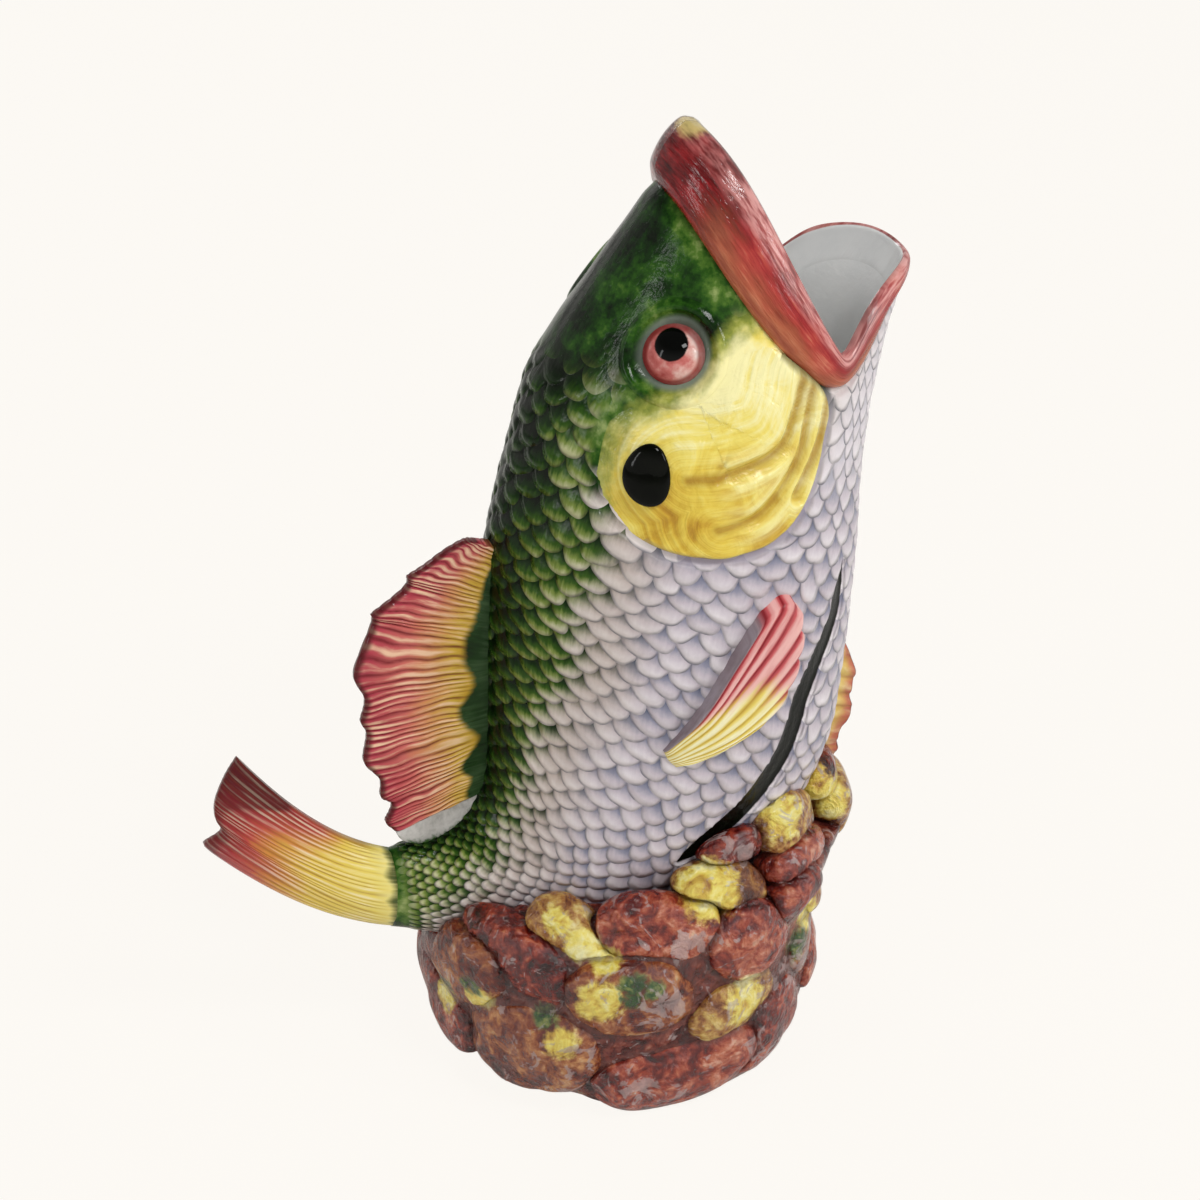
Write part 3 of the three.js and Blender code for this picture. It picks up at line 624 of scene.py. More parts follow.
def fin_glaze(name, stops, groove_colour, pale_crest_and_highlight_colour, contrast):
    """Fan of rays: colours from the root at 0 to the edge at 1, dark in the grooves and pale on the rays, the
    pale partly a painted highlight on their crests.
    """
    g = Glaze(name)
    reach, ray, ridge, ray_marks_and_highlight, rooted = g.marks("reach", "ray", "ridge", "ray_marks_and_highlight", "rooted")
    streak = g.noise(1.7, 4.0, 0.6, at=g.place(g.times(reach, 1.2), g.times(ray, 0.8)))
    cloud = g.noise(60.0)
    colour = g.ramp(g.sum(-0.29, (reach, 1.0), (streak, 0.34), (cloud, 0.24)), *stops)
    dark = g.span(g.sum(ridge, (streak, 1.8)), 0.9, 1.7, contrast, 0.0)
    # Pale paint on the rays' crests, partly a painted highlight.
    bright = g.span(g.sum(ridge, (streak, 2.0), (cloud, 0.8)), 2.1, 2.7, 0.0, contrast)
    edge = g.span(g.sum(reach, (streak, 0.06)), 0.97, 1.02, 0.0, 0.85)
    for share, paint in ((dark, groove_colour), (bright, pale_crest_and_highlight_colour), (edge, (74, 20, 22))):
        colour = g.mix(g.times(share, ray_marks_and_highlight), colour, rgb(*paint))
    green = g.ramp(g.sum(cloud, (streak, 0.5)), (0.5, 8, 26, 4), (0.75, 22, 54, 12), (1.0, 62, 88, 52))
    colour = g.mix(g.span(g.sum(rooted, (streak, 0.35)), 0.5, 0.85), colour, green)
    return g.done(colour, (0.08, 0.18), streak, 0.0003)


def pectoral_glaze():
    g = Glaze("pectoral_glaze")
    reach, ray, ridge, fold = g.marks("reach", "ray", "ridge", "fold")
    streak = g.noise(1.7, 4.0, 0.6, at=g.place(g.times(reach, 1.6), ray))
    shade = g.sum(ridge, (streak, 1.2))
    red = g.ramp(shade, (0.7, 140, 38, 44), (1.2, 200, 90, 94), (1.6, 238, 184, 178))
    gold = g.ramp(shade, (0.7, 198, 160, 60), (1.2, 234, 212, 108), (1.6, 252, 246, 200))
    redness = g.sum(reach, (fold, -1.15), (streak, 0.5))
    colour = g.mix(g.span(redness, 0.24, 0.48), gold, red)
    wall = g.ramp(streak, (0.3, 118, 100, 104), (0.7, 164, 154, 162))
    colour = g.mix(g.span(g.sum(fold, (streak, 0.06)), 0.1, 0.15, 1.0, 0.0), colour, wall)
    return g.done(colour, (0.08, 0.18), streak, 0.0003)


def web_glaze():
    g = Glaze("web_glaze")
    reach, ray = g.marks("reach", "ray")
    streak = g.noise(2.4, 4.0, at=g.place(ray, g.times(reach, 2.0)))
    cloud = g.noise(90.0)
    tone = g.sum(cloud, (streak, 0.6))
    pale = g.ramp(tone, (0.55, 150, 146, 140), (0.8, 186, 183, 178), (1.05, 208, 205, 200))
    green = g.ramp(streak, (0.3, 16, 40, 10), (0.7, 52, 84, 34))
    share = g.span(g.sum(reach, (streak, 0.8), (ray, -0.05)), 0.72, 1.1)
    return g.done(g.mix(share, pale, green), (0.08, 0.2), cloud, 0.0002)


def stone_glaze(name, tones):
    """Brushed glaze of a stone: mottled ground, dabs of yellow and moss green, pale patches of painted
    reflection, dark crevices of painted shade.
    """
    g = Glaze(name, 0.58)
    yellow, green, sheen_dabs, crevice, chance = g.marks("yellow", "green", "sheen_dabs", "crevice", "chance")
    brush = g.noise(110.0, 5.0, 0.6, 1.0)
    cloud = g.noise(45.0)
    patch = g.noise(230.0, 3.0, 0.55, 0.9)
    fleck = g.noise(420.0, 4.0, 0.65)
    sheen_patches = g.noise(95.0, 4.0, 0.6, 2.4)
    mottle = g.sum(0.0, (brush, 0.75), (patch, 0.55), (cloud, 0.4), (fleck, 0.3), (chance, 0.1))
    colour = g.ramp(mottle, *tones)
    gold = g.ramp(
        g.sum(brush, (patch, 0.6), (cloud, 0.5)),
        (0.8, 150, 100, 38), (0.96, 204, 168, 62), (1.1, 230, 212, 98), (1.3, 246, 240, 182),
    )
    colour = g.mix(g.span(g.sum(yellow, (brush, 1.3), (fleck, 0.7)), 1.3, 1.75), colour, gold)
    moss = g.ramp(g.sum(patch, (fleck, 0.6)), (0.6, 10, 34, 9), (0.8, 44, 78, 30), (1.0, 128, 134, 66))
    colour = g.mix(g.span(g.sum(green, (brush, 1.6), (patch, 1.6)), 1.95, 2.5), colour, moss)
    # Pale patches: a painted reflection on the glaze.
    painted_sheen = g.ramp(brush, (0.3, 146, 124, 120), (0.7, 194, 180, 178))
    colour = g.mix(g.span(g.sum(0.0, (sheen_dabs, 0.4), (sheen_patches, 2.2)), 1.28, 1.42, 0.0, 0.6), colour, painted_sheen)
    # Darker where a stone meets its neighbours: painted shade in the crevices.
    dark = g.mix(cloud, rgb(34, 8, 7), rgb(96, 64, 60))
    colour = g.mix(g.span(g.sum(crevice, (brush, 0.9)), 1.0, 1.6, 0.0, 0.5), colour, dark)
    return g.done(colour, (0.04, 0.1), g.sum(cloud, (sheen_patches, 0.5), (brush, 0.6), (patch, 0.3)), 0.003)


# Body

BODY_COLUMNS = 312
BODY_ROWS = 280
INNER_ROWS = 22
SCALE_SPACING = [(0, 3.2), (0.5, 3.2), (1.5, 3.5), (3, 4.2), (4.5, 5.3), (9, 5.3), (11, 4.6)]
STRIPE_HALF = 3.3


def scale_relief(row, column):
    """Height, from 0 to 1, of overlapping scales whose free edge points to the tail."""
    found = np.zeros(row.shape)
    for ahead in range(3):
        number = np.floor(row) + ahead
        sideward = np.abs((column - number % 2 / 2 + 0.5) % 1 - 0.5) / SCALE_WIDTH
        tailward = number - row
        length = np.maximum(tailward, 0) / SCALE_LENGTH
        edge = 1 - (length**SCALE_ROUND + sideward**SCALE_ROUND) ** (1 / SCALE_ROUND)
        tip = np.clip((tailward + 0.5) / (SCALE_LENGTH + 0.5), 0, 1)
        height = (0.1 + 0.9 * tip) * (1 - (1 - np.clip(edge / SCALE_RISE, 0, 1)) ** 2)
        found = np.where((edge > 0) | (ahead == 0), height, found)
    return softened(found, 2)


def body():
    angles = np.arange(BODY_COLUMNS) * 360 / BODY_COLUMNS
    rim, top = mouth_edges(angles)
    fine = np.linspace(0, LAST, 1200)
    step = np.linalg.norm(np.diff(skin(fine, 100.0), axis=0), axis=1)
    walk = np.append(0, np.cumsum(step))
    spacing = np.interp(fine, *zip(*SCALE_SPACING))
    scale_row = np.append(0, np.cumsum(step / spacing[1:]))
    reach = np.interp(LAST - 1, fine, walk)
    levels = np.interp(np.linspace(0, reach, BODY_ROWS + 1), walk, fine)[:, None]
    share = levels / (LAST - 1)
    station = lerp(levels, top * share, share**2)
    angle = np.broadcast_to(angles, station.shape)
    folded = np.minimum(angle, 360 - angle)

    ground = skin(station, angle)
    pace = np.linalg.norm(np.roll(ground, -1, axis=1) - ground, axis=-1)
    round_mm = np.cumsum(pace, axis=1) - pace
    girth = pace.sum(axis=1, keepdims=True)
    row = np.interp(station, fine, scale_row) + 0.35 * lumps(ground, 22.0) + 0.22 * lumps(ground, 9.0, 20.0)
    column = SCALES_ROUND * np.minimum(round_mm, girth - round_mm) / girth
    column = column + 0.3 * lumps(ground, 20.0, 40.0) + 0.16 * lumps(ground, 9.0, 60.0)

    cheek = outline_distance(station, folded, CHEEK)
    stripe, stripe_place = line_distance(station, folded, STRIPE)
    stripe_end = np.minimum(stripe_place, 1 - stripe_place) / 0.12
    stripe -= STRIPE_HALF * np.clip(stripe_end, 0.05, 1) ** 0.5
    head_top = smooth(8.6, 9.6, station) * (1 - smooth(60, 85, folded))
    scaly = (1 - head_top) * smooth(0.8, 4, cheek) * smooth(0.2, 1.2, stripe)
    scaly *= smooth(0.1, 0.5, station) * (1 - smooth(-0.12, 0.0, station - top))
    size = np.interp(station, (0, 1.5, 4.5), (0.4, 0.6, 1.0))
    rise = SCALE_HEIGHT * size * scale_relief(row, column) * smooth(0.3, 0.9, scaly)
    rise += 0.25 * lumps(ground, 14.0, 80.0) * smooth(0.3, 2, station)
    rise -= 0.6 * (1 - smooth(-1.2, 0.6, stripe)) + 1.6 * (1 - smooth(-4, -0.5, cheek))
    per_station, per_degree = skin_rates(*EYE)
    eye = np.hypot((station - EYE[0]) * per_station, (folded - EYE[1]) * per_degree)
    rise -= 3.4 * (1 - smooth(11, 14.5, eye)) + 0.8 * (1 - smooth(0.0, 0.12, top - station))
    outer = skin(station, angle, rise)

    down = lerp(top, 1.6, np.linspace(0, 1, INNER_ROWS + 1)[:, None] ** 1.5)
    inner = skin(down, angles, inner_lift(down, rim))
    marks = {
        "row": row, "column": column, "scaly": scaly,
        "yellow": yellow_mark(station, folded) * smooth(8.9, 9.2, station) * (folded < 100),
        # border marks the skin just behind the gill cover's edge, where the glaze carries painted shade.
        "stripe": np.maximum(3 - stripe, 0), "border": np.maximum(4 - cheek, 0) * (folded > 70),
        "flank": past_green(station, folded) * girth / 3600,
        "ridge": 1 - smooth(8, 40, folded), "front": front_mark(station),
        "along": np.interp(station, fine, walk), "around": round_mm,
    }
    marks = {key: join(mark, np.zeros(inner.shape[:2])) for key, mark in marks.items()}
    marks["inner"] = join(np.zeros(outer.shape[:2]), np.ones(inner.shape[:2]))
    return tube(join(outer, inner), marks)


# Lip: shares of its width with the lift over the skin in swells; below 0 it lies inside the wall
LIP_OUTSIDE = [
    (-0.06, -1.0), (0.0, 0.0), (0.08, 0.42), (0.22, 0.8), (0.48, 1.0), (0.72, 0.97), (0.92, 0.74), (1.0, 0.2),
]


def mouth_lip():
    angles = np.arange(300) * 1.2
    folded = np.minimum(angles, 360 - angles)
    rim, foot = mouth_edges(angles)
    swell = np.interp(folded, *zip(*LIP_SWELL))
    outside = along(LIP_OUTSIDE, np.linspace(0, 1, 34))
    share, rise = outside[:, :1], outside[:, 1:]
    station = lerp(foot, rim, share)
    wobble = 0.3 * lumps(skin(station, angles), 16.0)
    lift = np.where(rise > 0, rise * (swell + wobble), -rise * inner_lift(foot, rim) / 2)
    depth = np.linspace(0, 1, 16)[:, None] ** 1.3
    inner_station = lerp(rim, foot - 0.3, depth)
    inner = inner_lift(inner_station, rim) - 0.15 * smooth(0.1, 0.4, depth) + 0.5 * smooth(0.75, 1, depth)
    rounding = RIM_WALL * 0.5 * (1 - smooth(0, 0.1, depth))
    rings = join(skin(station, angles, lift), skin(inner_station, angles, inner + rounding))
    across = join(share, np.ones(depth.shape))
    marks = {
        "across": np.clip(across, 0, 1),
        "around": angles,
        "inner": join(0 * share, smooth(0.0, 0.12, depth)),
        "tip": (1 - smooth(8, 30, folded)) * smooth(0.4, 1, across),
        "side": smooth(25, 60, folded),
    }
    return hoop(rings, marks)


# Cheek, eyes and boss

SOCKET_PROFILE = [
    (7.2, -3.6), (8.2, -2.8), (9.2, -2.1), (10.3, -1.6), (11.3, -0.7), (12.3, 0.5), (13.3, 1.1), (14.3, 0.8),
    (15.3, 0.1), (16.2, -0.8), (17, -1.8),
]


def on_skin(middle, side, forward, down, lift):
    """Points on the skin around a place: millimetres towards the mouth and towards the belly."""
    station, angle = middle
    per_station, per_degree = skin_rates(station, angle)
    return skin(station + forward / per_station, side * (angle + down / per_degree), lift)


def round_edge(share):
    """Quarter of a circle, from 0 at the border to 1."""
    return np.sqrt(np.clip(1 - (1 - np.clip(share, 0, 1)) ** 2, 0, 1))


def gill_cover(side):
    turn = turns(200)
    outline = np.asarray(CHEEK, float) - CHEEK_MIDDLE
    bearing = np.arctan2(outline[:, 1] * DEGREE_MM, outline[:, 0] * STATION_MM)
    reach = np.hypot(outline[:, 1] * DEGREE_MM, outline[:, 0] * STATION_MM)
    order = np.argsort(bearing)
    limit = blurred(np.interp(turn, bearing[order] % (2 * np.pi), reach[order], period=2 * np.pi), 3)
    border = 0.9 + 0.1 * np.sin(np.linspace(0.1, 1, 12) * np.pi / 2)
    share = join(np.linspace(0.02, 0.9, 34), border)[:, None]
    station = CHEEK_MIDDLE[0] + share * limit * np.cos(turn) / STATION_MM
    angle = CHEEK_MIDDLE[1] + share * limit * np.sin(turn) / DEGREE_MM
    lines = [along(line, np.linspace(0, 1, 24)) for line in CHEEK_GROOVES]
    grooves = np.min([line_distance(station, angle, line)[0] for line in lines], axis=0)
    sweep = line_distance(station, angle, lines[1])[1]
    bearings = np.degrees(turn)
    free = smooth(0, 35, bearings) * (1 - smooth(190, 222, bearings))
    inset = (1 - share) * limit
    raised = lerp(-1.2, 2.3, round_edge(inset / 2.6))
    sunk = lerp(-0.2, 1.2, smooth(0, 14, inset))
    lift = lerp(sunk, raised, free) + 0.5 * smooth(2, 20, inset)
    fade = smooth(0.5, 5, inset) * smooth(0, 0.2, 1 - sweep)
    fold = np.exp(-(((grooves - 4.2) / 1.9) ** 2)) * fade
    lift = lift - 1.7 * np.exp(-((grooves / 2.1) ** 2)) * fade + 0.8 * fold
    lift = lift + 0.45 * lumps(np.stack([station * STATION_MM, angle * DEGREE_MM, 0 * station], -1), 11.0)
    under = skin(station[::-5], side * angle[::-5], -2.2)
    marks = {
        "groove": grooves,
        "fold": fold,
        "sweep": sweep,
        "rim": np.where(free > 0.3, inset, 20),
        "front": front_mark(station),
        "yellow": yellow_mark(station, angle),
    }
    marks = {key: join(mark, mark[::-5]) for key, mark in marks.items()}
    return tube(join(skin(station, side * angle, lift), under), marks)


def gill_spot(side):
    turn = turns(72)
    share = np.sin(np.linspace(0.02, 1, 22) * np.pi / 2)[:, None]
    forward = share * SPOT_LENGTH * np.cos(turn)
    down = share * SPOT_WIDTH * np.sin(turn) * (1 - 0.12 * np.cos(turn))
    dome = on_skin(SPOT, side, forward, down, 2.0 + 2.3 * np.sqrt(np.clip(1 - share**2, 0, 1)))
    return tube(join(dome, on_skin(SPOT, side, forward[-1:], down[-1:], 0.5)), {})


def eye_socket(side):
    turn = turns(120)
    radius, profile = along(SOCKET_PROFILE, np.linspace(0, 1, 46)).T[..., None]
    forward, down = radius * np.cos(turn), radius * np.sin(turn)
    ring = on_skin(EYE, side, forward, down, profile)
    low = on_skin(EYE, side, forward[[-1, 0]], down[[-1, 0]], -4.2)
    per_station, per_degree = skin_rates(*EYE)
    station, angle = EYE[0] + forward / per_station, EYE[1] + down / per_degree
    marks = {
        # Pale ring in the socket groove, partly a painted reflection.
        "ring": (1 - smooth(9.6, 11.6, radius)) * 0.9,
        "flank": past_green(station, angle) * per_degree / 10,
        "along": station * STATION_MM + 18,
        "around": angle * per_degree,
        "yellow": yellow_mark(station, angle),
        "front": front_mark(station),
    }
    marks = {key: join(mark, mark[[-1, 0]]) for key, mark in marks.items()}
    return hoop(join(ring, low), marks)


def eyeball(side):
    turn = turns(72)
    station, angle = EYE
    middle = skin(station, side * angle)
    forward = skin(station + 0.05, side * angle) - skin(station - 0.05, side * angle)
    forward /= np.linalg.norm(forward)
    around = skin(station, side * (angle + 1)) - skin(station, side * (angle - 1))
    around /= np.linalg.norm(around)
    out = np.cross(forward, around)
    out *= np.sign(out @ (skin(station, side * angle, 5.0) - middle))
    tilt = np.linspace(0.02, 1.25, 34)[:, None]
    flat = EYE_RADIUS * np.sin(tilt)
    ahead, below = flat * np.cos(turn), flat * np.sin(turn)
    up = (EYE_RADIUS * np.cos(tilt))[..., None] * out
    rings = middle - EYE_SUNK * out + ahead[..., None] * forward + below[..., None] * around + up
    # Forward and down on the eye, where the iris carries a painted reflection.
    iris_sheen = (0.4 * ahead + 0.9 * below) / EYE_RADIUS
    return tube(rings, {"pupil": np.hypot(ahead - 2.6, below + 1.3), "radius": flat, "iris_sheen": iris_sheen})


# Fins: u runs from the root to the edge, v along the edge

DORSAL_EDGE = [
    (-75.5, 85.3), (-78.5, 89.8), (-76, 94.9), (-79.6, 99.6), (-79.3, 105.1), (-84.2, 113.7), (-82.5, 122.5),
    (-84.4, 128.4), (-82.5, 135.1), (-85.6, 145.8), (-79.1, 160.8), (-78.6, 165.2), (-68.4, 171.3),
    (-67.6, 175.6), (-60.3, 178.4), (-51.7, 183.7), (-47, 183),
]
DORSAL_RAYS = 50
VENTRAL_EDGE = [(66, 72), (70.5, 80), (70.8, 86), (75, 94), (74.3, 101), (75.6, 110), (71, 123)]
VENTRAL_RAYS = 9
FIN_ROOT = -3.0
FIN_THICKNESS = (7, 3)
TAIL_EDGE = [
    (-130, 14, 83), (-133, 6, 91), (-128.5, 1, 98), (-130, 0, 104), (-129.5, 0, 110), (-126, 0, 118),
    (-122, 0, 124),
]
TAIL_RAYS = 22
TAIL_SAG = 6.5
PECTORAL_EDGE = [
    (7.3, 93.2), (7.66, 98.4), (7.86, 104.6), (7.84, 110.5), (7.62, 114.3), (7.3, 115.6), (6.95, 114),
    (6.58, 108.5), (6.18, 98.5), (5.82, 90),
]
PECTORAL_ROOT = [(5.62, 75.5), (5.5, 78), (5.48, 81)]
PECTORAL_RAYS = 9
RAY_COLUMNS = 9


def strays(x, y):
    """Soft noise from -1 to 1 over a fin's own plane."""
    x, y = np.broadcast_arrays(x, y)
    return lumps(np.stack([x, y, 0 * x], -1), 1.0)


def flutes(count, place):
    """Rounded rays with sharp grooves between them, from 0 to 1."""
    return np.abs(np.sin(np.pi * count * place)) ** 0.7


def thinned(low, high, share):
    """Part of the thickness that is left where a fin rounds off towards its edge."""
    return np.sqrt(np.clip(1 - smooth(low, high, share) ** 2, 0.05, 1))


def mid_fin(stations, angle, edge, rays, sway, green_root):
    u, v = grid(40, rays * RAY_COLUMNS + 1)
    root = skin(lerp(*stations, v), angle, FIN_ROOT)
    tip = along([(x, 0, z) for x, z in edge], v)
    wander = v + 0.02 * strays(0, 14 * v) + 0.012 * strays(4 * u, 9 * v)
    ridge = flutes(rays, wander)
    middle = root + (tip - root) * (u**0.95)[..., None]
    middle[..., 1] += sway * np.sin(2 * np.pi * 8 * v + 1) * u**2 * smooth(0, 0.1, v) * smooth(0, 0.1, 1 - v)
    half = lerp(*FIN_THICKNESS, u**0.7) / 2 + (ridge - 0.5) * 0.6 * smooth(0.1, 0.4, u)
    rooted = (1 - smooth(0.06, 0.36, u + 0.14 * strays(0, 9 * v + 3))) * green_root
    # The rays' lines and their painted highlights fade out towards the root.
    marks = {"reach": u, "ray": rays * wander, "ridge": ridge, "ray_marks_and_highlight": smooth(0.12, 0.3, u), "rooted": rooted}
    return slab(middle, half * thinned(0.93, 1.03, u), marks)


def fin_web():
    u, v = grid(30, 60)
    inner = skin(3.0, 0, FIN_ROOT)
    outer = np.array([DORSAL_EDGE[0][0], 0, DORSAL_EDGE[0][1]])
    upper = inner + (outer - inner) * (v * 0.95)[..., None]
    lower = lerp(skin(lerp(3.0, 0.4, v), 0, FIN_ROOT), outer, (v**4)[..., None])
    middle = upper + (lower - upper) * u[..., None]
    half = lerp(2.4 + 0.8 * u, 1.6, v**2) + 0.25 * lumps(middle, 9.0)
    return slab(middle, half * thinned(0.9, 1.03, v), {"reach": u, "ray": 10 * v})


def tail_fin():
    u, v = grid(60, TAIL_RAYS * RAY_COLUMNS + 1)
    back_x, back_z, belly_x, belly_z, half_width = STATIONS[0]
    height = (1 - np.cos(np.pi * v)) / 2
    root = np.stack([lerp(belly_x, back_x, height) + 1.5, 0 * v, lerp(belly_z, back_z, height)], -1)
    middle = root + (along(TAIL_EDGE, v) - root) * u[..., None]
    middle[..., 2] -= TAIL_SAG * 4 * u * (1 - u)
    wander = v + 0.03 * strays(0, 11 * v) + 0.01 * strays(3 * u, 8 * v)
    ridge = flutes(TAIL_RAYS, wander)
    stem = np.maximum(half_width * np.sin(np.pi * v), 1.5)
    half = lerp(stem + 0.3, 1.6, smooth(0, 0.8, u)) + (ridge - 0.5) * 0.3 * smooth(0.15, 0.5, u)
    turned = 0.3 * smooth(0.6, 1, v) * smooth(0.1, 0.4, u) + 0.08 * (1 - smooth(0, 0.25, v))
    marks = {
        "reach": u + turned, "ray": TAIL_RAYS * wander, "ridge": ridge,
        # The rays' lines and their painted highlights fade out towards the root and at the tip.
        "ray_marks_and_highlight": smooth(0.03, 0.2, u) * (1 - 0.4 * smooth(0.6, 0.9, u)),
        "rooted": 0.6 * (1 - smooth(0.0, 0.14, u + 0.04 * strays(0, 9 * v))),
    }
    return slab(middle, half * thinned(0.95, 1.02, u), marks)


def pectoral_fin(side):
    u, v = grid(48, 145)
    root = along(PECTORAL_ROOT, v)
    ridge = flutes(PECTORAL_RAYS, v + 0.05 * strays(0, 5 * v) + 0.03 * strays(3 * u, 6 * v))
    scallop = 0.045 * (flutes(PECTORAL_RAYS, v) - 1) * smooth(0.2, 0.5, v)
    place = root + (along(PECTORAL_EDGE, v) - root) * (u * (1 + scallop * u))[..., None]
    lift = lerp(5.2, 2.6, smooth(0, 1, v)) * lerp(0.55, 1, smooth(0, 0.35, u))
    lift = lift + (ridge - 0.5) * 0.7 * smooth(0.05, 0.5, u)
    border = np.min(np.broadcast_arrays(v / 0.06, (1 - v) / 0.06, (1 - u) / 0.05, u / 0.08), axis=0)
    lift = lift * round_edge(border) - 1.0 * (border < 0.01)
    upper, lower = (skin(place[..., 0], side * place[..., 1], level) for level in (lift, -2.5))
    return plate(upper, lower, {"reach": u, "ray": PECTORAL_RAYS * v, "ridge": ridge, "fold": v})


# Stones: dabs of glaze, and dabs of painted reflection, are x, y, z and radius

DABS = {
    "yellow": [
        (52, -22, 84, 11), (35, -42, 92, 10), (61, -19, 77, 10), (8, -52, 77, 12), (2, -50, 80, 7),
        (46, -34, 46, 7), (-38, -41, 70, 6), (-33, -48, 65, 7), (-26, -52, 60, 6), (-30, -57, 49, 9),
        (18, -59, 37, 10), (-41, -52, 32, 7), (-66, -12, 27, 7), (-61, -32, 40, 6), (30, 52, 70, 12),
        (-20, 58, 52, 11), (58, 20, 50, 10), (-60, 20, 44, 9), (10, 60, 30, 10), (44, 40, 86, 9),
        (-46, 42, 66, 8),
    ],
    "green": [
        (-20, -60, 55, 6), (-21, -61, 50, 5), (-14, -61, 53, 4), (-62, -30, 44, 5), (-66, -18, 36, 5),
        (-44, -47, 39, 6), (42, -41, 39, 7), (40, 44, 24, 8), (-30, 54, 44, 7), (-58, 26, 40, 6),
    ],
    # Dabs where a painted reflection lies on the stones.
    "sheen_dabs": [
        (-10, -62, 46, 8), (41, -42, 30, 8), (-18, -60, 15, 7), (18, -47, 86, 6), (-1, -57, 64, 6),
        (20, 58, 50, 8),
    ],
}
STONES = 35
YELLOW_STONES = (10, 15, 17, 22, 23, 26, 28, 30, 33)
MOSS_STONES = (2, 7, 9, 11, 13, 16)
TONE_STEPS = (0.82, 0.97, 1.08, 1.18, 1.34)
STONE_TONES = {
    "stone_brown": ((30, 3, 3), (94, 16, 10), (146, 54, 34), (182, 100, 70), (222, 172, 148)),
    "stone_yellow": ((58, 18, 10), (120, 66, 30), (168, 118, 54), (202, 170, 92), (232, 216, 160)),
    "stone_moss": ((36, 7, 4), (96, 28, 14), (144, 76, 38), (184, 124, 72), (220, 186, 136)),
    "crevice_glaze": ((32, 6, 5), (80, 20, 14), (118, 48, 34), (150, 86, 68), (190, 148, 134)),
}
VOXEL = 1.4
COVER_STEP = 2
COVER_SHAPE = (70, 180)
COVER_GAP = 1.5
FILLED = 0.6
NEIGHBOUR_REACH = 6.0
CHANCE_SEED = 11


def remeshed(node):
    """Points, edges and faces of a CAD solid, with even small faces."""
    copy = add_object("copy", frame["nodes"][node].data.copy())
    copy.matrix_world = frame["nodes"][node].matrix_world
    modifier = copy.modifiers.new("even", "REMESH")
    modifier.mode = "VOXEL"
    modifier.voxel_size = VOXEL * MM
    bpy.context.view_layer.update()
    solid = copy.evaluated_get(bpy.context.evaluated_depsgraph_get())
    mesh = bpy.data.meshes.new_from_object(solid)
    points = np.array([copy.matrix_world @ vertex.co for vertex in mesh.vertices]) / MM
    edges = np.array([edge.vertices[:] for edge in mesh.edges])
    faces = [tuple(face.vertices) for face in mesh.polygons]
    bpy.data.meshes.remove(mesh)
    bpy.data.objects.remove(copy)
    return points, edges, faces


def relaxed(points, edges, rounds):
    for _ in range(rounds):
        total = np.zeros(points.shape)
        count = np.zeros(len(points))
        for a, b in ((0, 1), (1, 0)):
            np.add.at(total, edges[:, a], points[edges[:, b]])
            np.add.at(count, edges[:, a], 1)
        points = lerp(points, total / count[:, None], 0.6)
    return points


def normals(points, faces):
    quads = np.array([face if len(face) == 4 else (*face, face[0]) for face in faces])
    across = np.cross(points[quads[:, 2]] - points[quads[:, 0]], points[quads[:, 3]] - points[quads[:, 1]])
    total = np.zeros(points.shape)
    for corner in range(4):
        np.add.at(total, quads[:, corner], across)
    return total / np.maximum(np.linalg.norm(total, axis=1, keepdims=True), 1e-9)


def facets(points, size, shift):
    """Soft creases between rough planes of about that size: 0 on a plane, down to -1 in a crease."""
    nearest = [noise.voronoi(Vector(point) / size + Vector((shift, 0, 0)))[0] for point in points]
    return smooth(0.0, 0.4, np.array([row[1] - row[0] for row in nearest])) - 1


def cover_cells(points):
    """Row and column of the heap's cover at the points, by steps in height and round the heap."""
    turn = np.degrees(np.arctan2(points[:, 1], points[:, 0])) % 360
    rows = (points[:, 2].clip(0) / COVER_STEP).astype(int)
    return rows, (turn / COVER_STEP).astype(int) % COVER_SHAPE[1]


def heap_cover(points):
    """Radius of a soft cover laid over the heap."""
    cover = np.zeros(COVER_SHAPE)
    np.maximum.at(cover, cover_cells(points), np.hypot(points[:, 0], points[:, 1]))
    for _ in range(2):
        cover = np.max([np.roll(cover, step, axis) for axis in (0, 1) for step in (-1, 0, 1)], axis=0)
    return softened(cover, 5)


